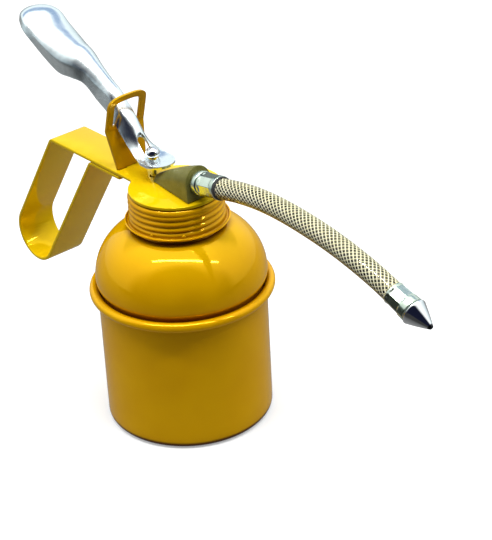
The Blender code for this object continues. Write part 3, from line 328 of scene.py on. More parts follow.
def joined_rows(bm, rows, around=True):
    """Faces between neighbouring rows of vertices, which may close round."""
    for first, second in zip(rows, rows[1:]):
        count = len(first)
        for i in range(count if around else count - 1):
            j = (i + 1) % count
            bm.faces.new((first[i], first[j], second[j], second[i]))


def revolve(name, profile, steps, mat, sharp, closed=False, place=None, change=None):
    """A profile turned round Z. change moves a point by its angle: (r, z, angle) to (r, z)."""
    bm = bmesh.new()
    rings = []
    for radius, height in profile:
        if radius < 1e-7:
            rings.append([bm.verts.new((0.0, 0.0, height))])
            continue
        ring = []
        for i in range(steps):
            angle = 2 * math.pi * i / steps
            r, z = change(radius, height, angle) if change else (radius, height)
            ring.append(bm.verts.new((r * math.cos(angle), r * math.sin(angle), z)))
        rings.append(ring)
    pairs = list(zip(rings, rings[1:]))
    if closed:
        pairs.append((rings[-1], rings[0]))
    for first, second in pairs:
        for i in range(steps):
            j = (i + 1) % steps
            corners = [first[i % len(first)], first[j % len(first)]]
            corners += [second[j % len(second)], second[i % len(second)]]
            face = list(dict.fromkeys(corners))
            if len(face) > 2:
                bm.faces.new(face)
    if place is not None:
        bmesh.ops.transform(bm, matrix=place, verts=bm.verts)
    return solid(bm, name, mat, sharp)


def evaluated_mesh(obj):
    bpy.context.view_layer.update()
    graph = bpy.context.evaluated_depsgraph_get()
    return bpy.data.meshes.new_from_object(obj.evaluated_get(graph))


def apply_modifiers(obj):
    """Put an object's modifiers into its mesh."""
    mesh = evaluated_mesh(obj)
    obj.modifiers.clear()
    obj.data = mesh


def bevel(obj, width, segments, angle):
    """Round an object's edges past an angle in degrees."""
    rounding = obj.modifiers.new("Edges", "BEVEL")
    rounding.width = width
    rounding.segments = segments
    rounding.limit_method = "ANGLE"
    rounding.angle_limit = math.radians(angle)
    rounding.harden_normals = False
    apply_modifiers(obj)


def thicken(obj, thickness, offset):
    """Give a surface the thickness of its sheet."""
    sheet = obj.modifiers.new("Sheet", "SOLIDIFY")
    sheet.thickness = thickness
    sheet.offset = offset
    return sheet


def combine(obj, tools, operation="DIFFERENCE"):
    """Cut an object with tools, or join them to it. The tools are then removed."""
    for tool in tools:
        modifier = obj.modifiers.new(tool.name, "BOOLEAN")
        modifier.operation = operation
        modifier.solver = "EXACT"
        modifier.object = tool
    apply_modifiers(obj)
    for tool in tools:
        bpy.data.objects.remove(tool, do_unlink=True)


def round_tool(name, radius, start, end):
    """A plain cylinder between two points, as a tool."""
    start = Vector(start)
    end = Vector(end)
    bm = bmesh.new()
    depth = (end - start).length
    bmesh.ops.create_cone(bm, cap_ends=True, segments=48, radius1=radius, radius2=radius, depth=depth)
    turn = (end - start).to_track_quat("Z", "Y").to_matrix().to_4x4()
    bmesh.ops.transform(bm, matrix=Matrix.Translation((start + end) / 2) @ turn, verts=bm.verts)
    return solid(bm, name)


def upright_tool(name, x, radius, low, high):
    return round_tool(name, radius, (x, 0, low), (x, 0, high))


def plate_from(name, outlines, thickness):
    """A flat plate in the XY plane from outlines, the first outside, the rest holes."""
    curve = bpy.data.curves.new(name, "CURVE")
    curve.dimensions = "2D"
    curve.fill_mode = "BOTH"
    curve.extrude = thickness / 2
    for outline in outlines:
        spline = curve.splines.new("POLY")
        spline.points.add(len(outline) - 1)
        for point, (x, y) in zip(spline.points, outline):
            point.co = (x, y, 0.0, 1.0)
        spline.use_cyclic_u = True
    source = placed(name, curve)
    mesh = evaluated_mesh(source)
    bpy.data.objects.remove(source, do_unlink=True)
    bm = bmesh.new()
    bm.from_mesh(mesh)
    bmesh.ops.remove_doubles(bm, verts=bm.verts, dist=0.000001)
    return bm


# Can and cap

def thread_wave(angle, z):
    """Height of the rolled thread from 0 at its root to 1 at its crest."""
    phase = 2 * math.pi * z / THREAD_PITCH - angle
    return ((1 + math.cos(phase)) / 2) ** THREAD_ROUNDNESS


def thread_fade(z, bottom, top):
    return eased(min((z - bottom) / THREAD_FADE, (top - z) / THREAD_FADE))


def thread_levels(bottom, top, samples):
    count = round((top - bottom) / THREAD_PITCH * samples)
    return [bottom + (top - bottom) * i / count for i in range(count + 1)]


def make_cup(mat):
    """Drawn cup with its rolled rim."""
    half = CAN_SHEET / 2
    wall = CUP_RADIUS - half
    path = [(0.0, half), (wall * 0.5, half), (wall - CUP_CORNER * 1.6, half)]
    path += arc((wall - CUP_CORNER, CUP_CORNER + half), CUP_CORNER, -90, 0, 12)
    path += [(wall, RIM_HEIGHT * share) for share in (0.12, 0.5, 0.8, 0.9)]
    path += arc((wall + RIM_CURL, RIM_HEIGHT), RIM_CURL, 180, -95, 30)
    return revolve("can_cup_shell", sheet_profile(path, CAN_SHEET, True), ROUND_STEPS, mat, 40)


def dome_path():
    """Middle line of the dome from its skirt up to the mouth of the neck."""
    half = CAN_SHEET / 2
    skirt = CUP_RADIUS - CAN_SHEET - GAP - half
    bulge = DOME_RADIUS - half
    neck = NECK_ROOT - NECK_SHEET / 2
    ease = DOME_SPRING - RIM_TOP
    turn = [(skirt, RIM_HEIGHT), (skirt + CAN_SHEET * 0.4, RIM_TOP)]
    turn += [(bulge - CAN_SHEET * 0.4, RIM_TOP + ease * 0.48), (bulge, RIM_TOP + ease * 0.80)]
    path = [(skirt, SKIRT_BOTTOM), (skirt, RIM_HEIGHT - 0.001)]
    path += [tuple(point) for point in smooth_path(turn, 4)]
    count = 44
    root = neck + 0.0006
    for i in range(count + 1):
        angle = math.pi / 2 * i / count
        reach = math.cos(angle) ** SHOULDER_FULLNESS if i < count else 0.0
        height = DOME_SPRING + (SHOULDER_TOP - DOME_SPRING) * math.sin(angle)
        path.append((root + (bulge - root) * reach, height))
    path += [(neck + 0.0002, SHOULDER_TOP + 0.0006), (neck, SHOULDER_TOP + 0.0012)]
    return path + [(neck, z) for z in thread_levels(NECK_THREAD_BOTTOM, NECK_TOP, 9)]


def make_dome(mat):
    """Pressed dome with the rolled thread of its neck."""
    def rolled(radius, z, angle):
        if z < NECK_THREAD_BOTTOM:
            return radius, z
        rise = thread_wave(angle, z) * thread_fade(z, NECK_THREAD_BOTTOM, NECK_TOP)
        return radius + THREAD_DEPTH * rise, z

    profile = sheet_profile(dome_path(), CAN_SHEET)
    return revolve("can_dome_shell", profile, ROUND_STEPS, mat, 40, closed=True, change=rolled)


def make_cap(mat):
    """Pressed screw cap: rolled thread, curled lip, and holes for rod and stud."""
    half = CAP_SHEET / 2
    skirt = CAP_CREST - half
    top = CAP_TOP - half
    lip = (skirt + CAP_LIP_CURL, CAP_LIP_HEIGHT + CAP_LIP_CURL)
    band_bottom = lip[1] + 0.0006
    band_top = CAP_TOP - CAP_TOP_CORNER
    path = [(0.0, top), (skirt * 0.5, top), (skirt * 0.85, top)]
    path += arc((skirt - CAP_TOP_CORNER, top - CAP_TOP_CORNER), CAP_TOP_CORNER, 90, 0, 8)
    path += [(skirt, z) for z in thread_levels(band_bottom, top - CAP_TOP_CORNER, 14)[::-1][1:]]
    path += arc(lip, CAP_LIP_CURL, 180, 355, 16)

    def rolled(radius, z, angle):
        if not band_bottom < z < band_top or radius < skirt * 0.8 or radius > skirt + CAP_SHEET:
            return radius, z
        depth = (1 - thread_wave(angle, z)) * thread_fade(z, band_bottom, band_top)
        return radius - THREAD_DEPTH * depth, z

    profile = sheet_profile(path, CAP_SHEET, True)
    obj = revolve("screw_cap_shell", profile, ROUND_STEPS, mat, 45, change=rolled)
    low = CAP_TOP - 0.003
    high = CAP_TOP + 0.002
    tools = [upright_tool("cap_rod", ROD_X, ROD_HOLE, low, high)]
    tools.append(upright_tool("cap_stud", STUD_X, STUD_RADIUS + GAP, low, high))
    combine(obj, tools)
    return obj


def make_lip_nicks(mat):
    """Two small burrs that the curling tool left on top of the cap's lip."""
    nicks = []
    radius = CAP_CREST + 0.0011
    height = CAP_LIP_HEIGHT + 0.0022
    for number, degrees, size in ((1, -69.0, 0.00048), (2, -32.0, 0.00062)):
        angle = math.radians(degrees)
        bm = bmesh.new()
        bmesh.ops.create_icosphere(bm, subdivisions=3, radius=size)
        for vertex in bm.verts:
            vertex.co.x *= 0.7
            vertex.co.y *= 1.3 - 0.9 * vertex.co.z / size
            vertex.co.z *= 1.0 + 0.2 * math.sin(vertex.co.y * 6000)
        place = Matrix.Translation((radius * math.cos(angle), radius * math.sin(angle), height))
        bmesh.ops.transform(bm, matrix=place @ Matrix.Rotation(angle, 4, "Z"), verts=bm.verts)
        nicks.append(solid(bm, f"lip_nick_{number}", mat, 60))
    return nicks


# Handle and stirrup

def strap_runs():
    """Straight runs and bends of the strap: length, turn."""
    slope = math.pi / 2 - HANDLE_LEAN
    runs = [(-STRAP_BEND_X, 0.0), (STRAP_BEND_RADIUS * slope, slope), (HANDLE_LEG, 0.0)]
    runs.append((HANDLE_LOOP_RADIUS * math.pi, math.pi))
    low = strap_line(runs)[-1][1].y
    level = PLATE_BOTTOM - GAP - STRAP_SHEET / 2
    rise = level - low - FOOT_BEND_RADIUS * (1 - math.cos(slope))
    runs.append((rise / math.sin(slope), 0.0))
    runs.append((FOOT_BEND_RADIUS * slope, -slope))
    runs.append((FOOT_LENGTH, 0.0))
    return runs


def strap_line(runs):
    """Stations along the strap: distance, point in the XZ plane."""
    point = Vector((0.0, PLATE_BOTTOM + STRAP_SHEET / 2))
    heading = math.pi
    stations = [(0.0, point.copy())]
    distance = 0.0
    for length, turn in runs:
        count = max(1, math.ceil(abs(math.degrees(turn)) / 3.0))
        if turn == 0.0:
            count = max(1, round(length / 0.006))
        for _ in range(count):
            step = length / count
            middle = heading + turn / count / 2
            chord = step
            if turn != 0.0:
                radius = length / abs(turn)
                chord = 2 * radius * math.sin(abs(turn) / count / 2)
            point = point + chord * Vector((math.cos(middle), math.sin(middle)))
            heading += turn / count
            distance += step
            stations.append((distance, point.copy()))
    return stations


def disc_outline():
    """Edge of the disc and the fillets that join it to the strap: along, across."""
    fillet_y = STRAP_WIDTH / 2 + DISC_FILLET
    fillet_x = math.sqrt((DISC_RADIUS + DISC_FILLET) ** 2 - fillet_y ** 2)
    touch = math.degrees(math.atan2(fillet_y, fillet_x))
    outline = arc((fillet_x, fillet_y), DISC_FILLET, 270, 180 + touch, 12)[:-1]
    outline += arc((0, 0), DISC_RADIUS, touch, 360 - touch, 120)
    return outline + arc((fillet_x, -fillet_y), DISC_FILLET, 180 - touch, 90, 12)[1:]


def make_strap(mat):
    """Handle strap with rounded edges, its disc, slots and holes."""
    half = STRAP_WIDTH / 2
    outline = disc_outline()
    bm = bmesh.new()
    level = PLATE_BOTTOM + STRAP_SHEET / 2
    head = [bm.verts.new((-along, across, level)) for along, across in outline]
    bm.faces.new(head)
    edge = (head[0], head[-1])
    start = outline[0][0]
    stations = [s for s in strap_line(strap_runs()) if s[0] > start + 0.0004]
    for distance, point in stations[:-1]:
        row = (bm.verts.new((point.x, half, point.y)), bm.verts.new((point.x, -half, point.y)))
        bm.faces.new((edge[0], edge[1], row[1], row[0]))
        edge = row
    end = stations[-1][1]
    tail = arc((end.x - FOOT_CORNER, -half + FOOT_CORNER), FOOT_CORNER, -90, 0, 6)
    tail += arc((end.x - FOOT_CORNER, half - FOOT_CORNER), FOOT_CORNER, 0, 90, 6)
    bm.faces.new([edge[0], edge[1]] + [bm.verts.new((x, y, end.y)) for x, y in tail])
    obj = solid(bm, "handle_strap_sheet", mat)
    thicken(obj, STRAP_SHEET, 0.0).use_even_offset = True
    bevel(obj, 0.00042, 3, 50)
    tools = []
    size = (STIRRUP_SHEET + 2 * GAP, TENON_WIDTH + 2 * GAP, 0.008, 1.0)
    for side in (-1, 1):
        bm = bmesh.new()
        place = Matrix.Translation((STIRRUP_X, side * TENON_SPREAD, FOOT_BOTTOM + 0.001))
        bmesh.ops.create_cube(bm, size=1.0, matrix=place @ Matrix.Diagonal(size))
        tools.append(solid(bm, f"slot_{side}"))
    for name, x, radius in (("plate_rod", ROD_X, ROD_HOLE), ("plate_stud", STUD_X, STUD_RADIUS + GAP)):
        tools.append(upright_tool(name, x, radius, PLATE_BOTTOM - 0.0001, PLATE_TOP + 0.001))
    combine(obj, tools)
    smooth(obj.data, 40)
    return obj


def arch(half_width, shoulder_rise, top_rise, count):
    """Right half of an arch, from its shoulder to its top."""
    points = []
    for i in range(count + 1):
        angle = math.pi / 2 * i / count
        width = half_width * math.cos(angle) ** STIRRUP_FULLNESS if i < count else 0.0
        rise = shoulder_rise + (top_rise - shoulder_rise) * math.sin(angle) ** STIRRUP_FULLNESS
        points.append((width, PLATE_TOP + rise))
    return points


def stirrup_lean(z):
    """Where the stirrup's middle stands along X: it leans back, then forward."""
    if z <= PLATE_TOP:
        return STIRRUP_X
    back = STIRRUP_X + (STIRRUP_KINK_X - STIRRUP_X) * (z - PLATE_TOP) / STIRRUP_KINK_RISE
    forward = STIRRUP_KINK_X + FORWARD_LEAN * (z - STIRRUP_KINK)
    share = (z - STIRRUP_KINK + STIRRUP_KINK_SPREAD) / (2 * STIRRUP_KINK_SPREAD)
    return back + (forward - back) * eased(share)


def make_stirrup(mat):
    """Stirrup plate with its arched window and two tenons."""
    tenon_bottom = FOOT_BOTTOM - TENON_PROUD
    inner = TENON_SPREAD - TENON_WIDTH / 2
    outer = TENON_SPREAD + TENON_WIDTH / 2
    right = [(inner, STIRRUP_BASE), (inner, tenon_bottom), (outer, tenon_bottom), (outer, STIRRUP_BASE)]
    right += [(STIRRUP_BASE_WIDTH / 2, STIRRUP_BASE), (STIRRUP_WIDTH / 2, STIRRUP_KINK)]
    right += arch(STIRRUP_WIDTH / 2, STIRRUP_SHOULDER_RISE, STIRRUP_RISE, 28)
    outline = right + [(-y, z) for y, z in right[-2::-1]]
    window = [(WINDOW_WIDTH / 2, PLATE_TOP + WINDOW_SILL_RISE)]
    window += arch(WINDOW_WIDTH / 2, WINDOW_SHOULDER_RISE, WINDOW_TOP_RISE, 24)
    window += [(-y, z) for y, z in window[-2::-1]]
    bm = plate_from("lever_stirrup_plate", [outline, window], STIRRUP_SHEET)
    bmesh.ops.dissolve_limit(bm, angle_limit=math.radians(0.2), verts=bm.verts, edges=bm.edges)
    obj = solid(bm, "lever_stirrup_plate", mat)
    bevel(obj, 0.00035, 3, 50)
    bm = bmesh.new()
    bm.from_mesh(obj.data)
    for level in [PLATE_TOP] + [STIRRUP_KINK + 0.0004 * i for i in range(-5, 6)]:
        everything = bm.verts[:] + bm.edges[:] + bm.faces[:]
        bmesh.ops.bisect_plane(bm, geom=everything, plane_co=(0, level, 0), plane_no=(0, 1, 0))
    for vertex in bm.verts:
        across, height, depth = vertex.co
        vertex.co = (stirrup_lean(height) + depth, across, height)
    turn_out(bm)
    bm.to_mesh(obj.data)
    bm.free()
    smooth(obj.data, 40)
    return obj


# Lever and plunger

def nose_stations():
    """From the tab up to the stirrup. Shares: along, crown, extra width and edge."""
    shares = [
        (0.000, 0.006, 1.00, 0.00),
        (0.172, 0.077, 0.79, 0.05),
        (0.332, 0.236, 0.47, 0.14),
        (0.481, 0.429, 0.16, 0.26),
        (0.631, 0.626, 0.05, 0.43),
        (0.802, 0.824, 0.00, 0.70),
        (1.000, 1.000, 0.00, 1.00),
    ]
    stations = []
    for along, crown, extra, edge in shares:
        x = NOSE_START_X + (FULCRUM_FRONT - NOSE_START_X) * along
        half_width = CHANNEL_HALF_WIDTH + (TAB_HALF_WIDTH - CHANNEL_HALF_WIDTH) * extra
        place = (x, TAB_TOP + NOSE_RISE * crown, half_width, TAB_TOP + NOSE_EDGE_RISE * edge)
        narrow = NOSE_CREST_NARROWING * math.sin(math.pi * along) ** 2
        stations.append((*place, LEVER_CREST_WIDTH - narrow, LEVER_CREST_DEPTH))
    return stations


def grip_stations():
    """Over the stirrup and out to the grip's end. Shares: along, crown, width, edge and crest."""
    shares = [
        (0.0528, 0.161, 0.486, 0.133, 0.74, 0.40),
        (0.1508, 0.319, 0.493, 0.247, 0.82, 0.56),
        (0.2695, 0.498, 0.546, 0.423, 0.88, 0.62),
        (0.3735, 0.646, 0.710, 0.468, 0.93, 0.66),
        (0.4774, 0.719, 0.851, 0.496, 0.95, 0.68),
        (0.5962, 0.806, 0.937, 0.639, 0.95, 0.66),
        (0.7150, 0.905, 0.981, 0.802, 0.94, 0.62),
        (0.8115, 1.035, 1.005, 0.944, 0.93, 0.62),
        (0.8857, 1.068, 0.830, 1.015, 0.91, 0.60),
        (0.9421, 1.034, 0.620, 0.985, 0.92, 0.62),
        (0.9792, 0.975, 0.450, 0.966, 0.92, 0.62),
        (1.0000, 0.944, 0.280, 0.980, 0.92, 0.62),
    ]
    rear = FULCRUM_X - STIRRUP_SHEET
    crown_at_rear = TAB_TOP + GRIP_START_RISE
    stations = [(rear, crown_at_rear, CHANNEL_HALF_WIDTH, NOTCH_TOP, LEVER_CREST_WIDTH, LEVER_CREST_DEPTH)]
    for along, crown, width, edge, crest, depth in shares:
        place = (rear - GRIP_LENGTH * along, crown_at_rear + GRIP_RISE * crown)
        stations.append((*place, GRIP_HALF_WIDTH * width, NOTCH_TOP + GRIP_EDGE_RISE * edge, crest, depth))
    return stations


def lever_section(x, crown, half_width, edge, crest, depth):
    """One cross-section of the channel: flat walls that lean inwards to a round crest."""
    reach = math.hypot(1 / crest, (1 - depth) / depth)
    touch = math.acos(1 / reach) - math.atan2(1 / depth - 1, 1 / crest)
    low = Vector((1.0, 1.0))
    high = Vector((crest * math.cos(touch), depth * (1 - math.sin(touch))))
    side = [tuple(low.lerp(high, i / 6)) for i in range(6)]
    turns = 16
    for i in range(turns + 1):
        angle = touch + (math.pi / 2 - touch) * i / turns
        side.append((crest * math.cos(angle), depth * (1 - math.sin(angle))))
    whole = side + [(-across, down) for across, down in side[-2::-1]]
    return [Vector((x, half_width * across, crown - (crown - edge) * down)) for across, down in whole]


def make_lever(mat):
    """Lever pressed from one sheet: grip, channel, nose and slotted tab."""
    crest = (LEVER_CREST_WIDTH, LEVER_CREST_DEPTH)
    stations = []
    center = TAB_TIP_X - TAB_HALF_WIDTH
    for degrees in range(6, 91, 6):
        angle = math.radians(degrees)
        half_width = TAB_HALF_WIDTH * math.sin(angle)
        stations.append((center + TAB_HALF_WIDTH * math.cos(angle), TAB_TOP, half_width, TAB_TOP, *crest))
    stations += smooth_path(nose_stations(), 5)
    stations.append((FULCRUM_FRONT - GAP, TAB_TOP + NOSE_RISE * 1.01, CHANNEL_HALF_WIDTH, NOTCH_TOP, *crest))
    stations += smooth_path(grip_stations(), 5)
    bm = bmesh.new()
    joined_rows(bm, [[bm.verts.new(point) for point in lever_section(*s)] for s in stations], around=False)
    bmesh.ops.recalc_face_normals(bm, faces=bm.faces)
    if sum(face.normal.z for face in bm.faces) < 0:
        bmesh.ops.reverse_faces(bm, faces=bm.faces)
    obj = solid(bm, "lever_sheet", mat, 50, outwards=False)
    thicken(obj, LEVER_SHEET, -1.0)
    apply_modifiers(obj)
    bm = bmesh.new()
    bm.from_mesh(obj.data)
    turn_out(bm)
    bm.to_mesh(obj.data)
    bm.free()
    half = SLOT_WIDTH / 2
    outline = arc((ROD_X + GAP, 0.0), half, -90, 90, 20)
    outline += arc((SLOT_BACK_X + half, 0.0), half, 90, 270, 20)
    bm = plate_from("lever_slot", [outline], NOSE_RISE * 1.4)
    bmesh.ops.translate(bm, verts=bm.verts, vec=(0.0, 0.0, TAB_TOP + NOSE_RISE * 0.25))
    combine(obj, [solid(bm, "lever_slot")])
    bevel(obj, 0.00032, 3, 55)
    smooth(obj.data, 50)
    return obj


def make_plunger(mat):
    """Plunger rod with its domed head."""
    contact = (SLOT_WIDTH / 2 - ROD_RADIUS) * HEAD_CONE / (HEAD_RADIUS - ROD_RADIUS)
    neck = TAB_TOP + HEAD_GAP - contact
    rim = neck + HEAD_CONE
    profile = [(0.0, rim + HEAD_DOME)]
    for i in range(1, 15):
        angle = math.pi / 2 * i / 14
        profile.append((HEAD_RADIUS * math.sin(angle), rim + HEAD_DOME * math.cos(angle)))
    profile += [(HEAD_RADIUS, rim - 0.0003), (HEAD_RADIUS - 0.00025, rim - 0.0007), (ROD_RADIUS, neck)]
    thin = ROD_RADIUS - 0.0005
    profile += [(ROD_RADIUS, neck - 0.012), (ROD_RADIUS, ROD_STEP), (thin, ROD_STEP), (thin, ROD_END)]
    profile.append((0.0, ROD_END))
    place = Matrix.Translation((ROD_X, 0.0, 0.0))
    return revolve("plunger_rod_turned", profile, 72, mat, 35, place=place)


# Outlet block, fittings and hose

def outlet_at(distance):
    """Point on the outlet axis, measured outwards from the block's face."""
    return OUTLET_POINT + distance * OUTLET_DIRECTION


def block_section(x, half_width, height, tilt):
    """Arched section of the outlet block, its sides leaning inwards."""
    arch_width = half_width * BLOCK_ARCH
    straight = max(height - arch_width, 0.0008)
    crown = height - straight
    points = [(half_width, 0.0), (half_width * 0.98, straight * 0.3), (arch_width, straight)]
    count = 28
    for i in range(1, count):
        angle = math.pi * i / count
        points.append((arch_width * math.cos(angle), straight + crown * math.sin(angle)))
    points += [(-arch_width, straight), (-half_width * 0.98, straight * 0.3), (-half_width, 0.0)]
    return [Vector((x - up * tilt, across, PLATE_TOP + GAP + up)) for across, up in points]


def make_block(mat):
    """Cast outlet block with its stud, edges softened by casting."""
    sections = []
    for back, narrow, low in ((0.0012, 0.45, 0.62), (0.0007, 0.80, 0.86)):
        size = (BLOCK_REAR_HALF_WIDTH * narrow, BLOCK_REAR_HEIGHT * low)
        sections.append(block_section(BLOCK_REAR_X - back, *size, 0.0))
    stations = 26
    for i in range(stations):
        share = i / (stations - 1)
        x = BLOCK_REAR_X + (BLOCK_FACE_X - BLOCK_REAR_X) * share
        half_width = BLOCK_REAR_HALF_WIDTH + (BLOCK_FACE_HALF_WIDTH - BLOCK_REAR_HALF_WIDTH) * share
        climb = share * (1 + BLOCK_SWELL * (1 - share))
        height = BLOCK_REAR_HEIGHT + (BLOCK_FACE_HEIGHT - BLOCK_REAR_HEIGHT) * climb
        tilt = math.tan(OUTLET_TILT) * share
        sections.append(block_section(x + OUTLET_RISE * tilt, half_width, height, tilt))
    bm = bmesh.new()
    rows = [[bm.verts.new(point) for point in section] for section in sections]
    joined_rows(bm, rows)
    bm.faces.new(rows[0])
    bm.faces.new(rows[-1])
    obj = solid(bm, "outlet_block_casting", mat)
    bevel(obj, 0.0006, 4, 42)
    stud = upright_tool("block_stud", STUD_X, STUD_RADIUS, PLATE_BOTTOM - STUD_LENGTH, PLATE_TOP + 0.003)
    combine(obj, [stud], "UNION")
    mouth = round_tool("block_mouth", FITTING_THREAD + GAP, outlet_at(-FITTING_DEPTH - GAP), outlet_at(0.002))
    combine(obj, [mouth])
    smooth(obj.data, 40)
    return obj


def frame_along(point, direction):
    """Placement whose local Z runs along a direction in the XZ plane."""
    across = Vector((0.0, 1.0, 0.0))
    turn = Matrix((across.cross(direction), across, direction)).transposed().to_4x4()
    return Matrix.Translation(point) @ turn


def facet(depth, low, high, fade, turn):
    """A change for revolve that presses eight flats into a sleeve between two heights."""
    span = 2 * math.pi / 8

    def press(radius, z, angle):
        if radius < 0.0035:
            return radius, z
        share = eased(min((z - low) / fade, (high - z) / fade))
        local = (angle + turn) % span - span / 2
        flat = radius * math.cos(span / 2) / math.cos(local)
        return radius + (max(flat, radius - depth) - radius) * share, z
    return press


def sleeve_profile(start, end, start_radius, end_radius, inner):
    """Outer side of a sleeve with small rounded ends, closed by its bore."""
    corner = SLEEVE_CORNER
    levels = 24
    points = [(inner, end)] + arc((end_radius - corner, end - corner), corner, 90, 0, 4)
    for i in range(1, levels):
        share = i / levels
        z = end - corner - (end - start - 2 * corner) * share
        points.append((end_radius + (start_radius - end_radius) * share, z))
    points += arc((start_radius - corner, start + corner), corner, 0, -90, 4)
    return points + [(inner, start)]


def hose_line():
    """Middle of the hose as closely spaced points of one smooth line."""
    points = [outlet_at(HOSE_START), outlet_at(HOSE_START + 0.0040)]
    points += [OUTLET_POINT + Vector((x, 0.0, z)) for x, z in HOSE_ROUTE]
    return smooth_path(points, 14)


def nozzle_end(line):
    """The nozzle's end, beyond the hose's line."""
    return line[-1] + (line[-1] - line[-2]).normalized() * (2 * GAP + TIP_FERRULE_LENGTH + NOZZLE_CONE)


def curve_tube(name, line, radius, mat, resolution):
    """A tube as a curve of one open spline."""
    curve = bpy.data.curves.new(name, "CURVE")
    curve.dimensions = "3D"
    curve.bevel_depth = radius
    curve.bevel_resolution = resolution
    curve.use_fill_caps = True
    spline = curve.splines.new("POLY")
    spline.points.add(len(line) - 1)
    for point, place in zip(spline.points, line):
        point.co = (*place, 1.0)
    spline.use_smooth = True
    curve.materials.append(mat)
    return placed(name, curve)


def direction_at(line, i):
    """Which way a line runs at one of its points."""
    return (line[min(i + 1, len(line) - 1)] - line[max(i - 1, 0)]).normalized()


def make_strands(name, line, way, radius, half_width, mat):
    """One layer of flat strands that all wind the same way round the hose."""
    bm = bmesh.new()
    across = Vector((0.0, 1.0, 0.0))
    step = line_length(line) / (len(line) - 1)
    downs = [across.cross(direction_at(line, i)) for i in range(len(line))]
    sides = 8
    for strand in range(BRAID_STRANDS):
        centers = []
        normals = []
        for i, point in enumerate(line):
            angle = 2 * math.pi * (strand / BRAID_STRANDS + way * i * step / BRAID_LEAD)
            outward = math.cos(angle) * across + math.sin(angle) * downs[i]
            centers.append(point + outward * radius)
            normals.append(outward)
        rows = []
        for i, center in enumerate(centers):
            wide = direction_at(centers, i).cross(normals[i]).normalized()
            row = []
            for k in range(sides):
                turn = 2 * math.pi * k / sides
                reach = wide * half_width * math.cos(turn)
                row.append(bm.verts.new(center + reach + normals[i] * STRAND_HALF_THICKNESS * math.sin(turn)))
            rows.append(row)
        joined_rows(bm, rows)
        bm.faces.new(rows[0])
        bm.faces.new(rows[-1][::-1])
    return solid(bm, name, mat, 70)


def make_hose(looks, line):
    """Inner tube, two layers of strands and clear jacket on the hose's own line."""
    fine = even_line(line, 0.00062)
    jacket = curve_tube("hose_jacket", even_line(line, 0.0012), HOSE_DIAMETER / 2, looks["jacket"], 14)
    core = curve_tube("hose_core", even_line(line, 0.0020), CORE_RADIUS, looks["core"], 8)
    under = make_strands("hose_strands_under", fine, 1, UNDER_RADIUS, UNDER_HALF_WIDTH, looks["yarn_under"])
    over = make_strands("hose_strands_over", fine, -1, OVER_RADIUS, OVER_HALF_WIDTH, looks["yarn"])
    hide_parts("hose")
    for obj in (jacket, core, under, over):
        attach(obj, "head")
    return jacket, [core, under, over]


def make_base_fittings(looks):
    """Collar and crimped sleeve at the block, with a black ring in the sleeve's mouth that stands for shade.
    """
    place = frame_along(OUTLET_POINT, OUTLET_DIRECTION)
    low = GAP
    top = low + FITTING_COLLAR_LENGTH
    corner = COLLAR_CORNER
    tail = top + FITTING_TAIL_LENGTH
    profile = [(FITTING_BORE, tail), (FITTING_TAIL, tail), (FITTING_TAIL, top)]
    profile += arc((FITTING_COLLAR - corner, top - corner), corner, 90, 0, 4)
    profile += arc((FITTING_COLLAR - corner, low + corner), corner, 0, -90, 4)
    profile += [(FITTING_THREAD, low), (FITTING_THREAD, -FITTING_DEPTH), (FITTING_BORE, -FITTING_DEPTH)]
    collar = revolve("hose_collar", profile, FITTING_STEPS, looks["plated"], 35, closed=True, place=place)
    start = top + GAP
    hose_foot = start + BASE_FERRULE_LENGTH + GAP / 2
    end = start + BASE_FERRULE_LENGTH + SLEEVE_OVERLAP
    mouth = HOSE_DIAMETER / 2 + GAP / 2
    profile = sleeve_profile(start, end, FERRULE_RADIUS, FERRULE_RADIUS, mouth)[:-1]
    profile += [(FITTING_TAIL + GAP, start), (FITTING_TAIL + GAP, hose_foot), (mouth, hose_foot)]
    press = facet(0.0006, start + 0.0011, end - 0.0020, 0.0009, 0.298)
    base = revolve("base_sleeve", profile, SLEEVE_STEPS, looks["painted_reflection_top"], 22, True, place, press)
    # Painted shade: a black ring put in the sleeve's mouth, where the hose goes in.
    inner = HOSE_DIAMETER / 2 + GAP / 3
    outer = FERRULE_RADIUS - 0.0002
    ring = [(inner, end - 0.0004), (outer, end - 0.0004)]
    ring += arc((outer - 0.0004, end + 0.0006), 0.0004, 0, 90, 5)
    ring += [(inner, end + 0.0012)]
    mouth_shade_ring = revolve("hose_mouth_shade_ring", ring, 72, looks["rubber"], 40, closed=True, place=place)
    return collar, base, mouth_shade_ring


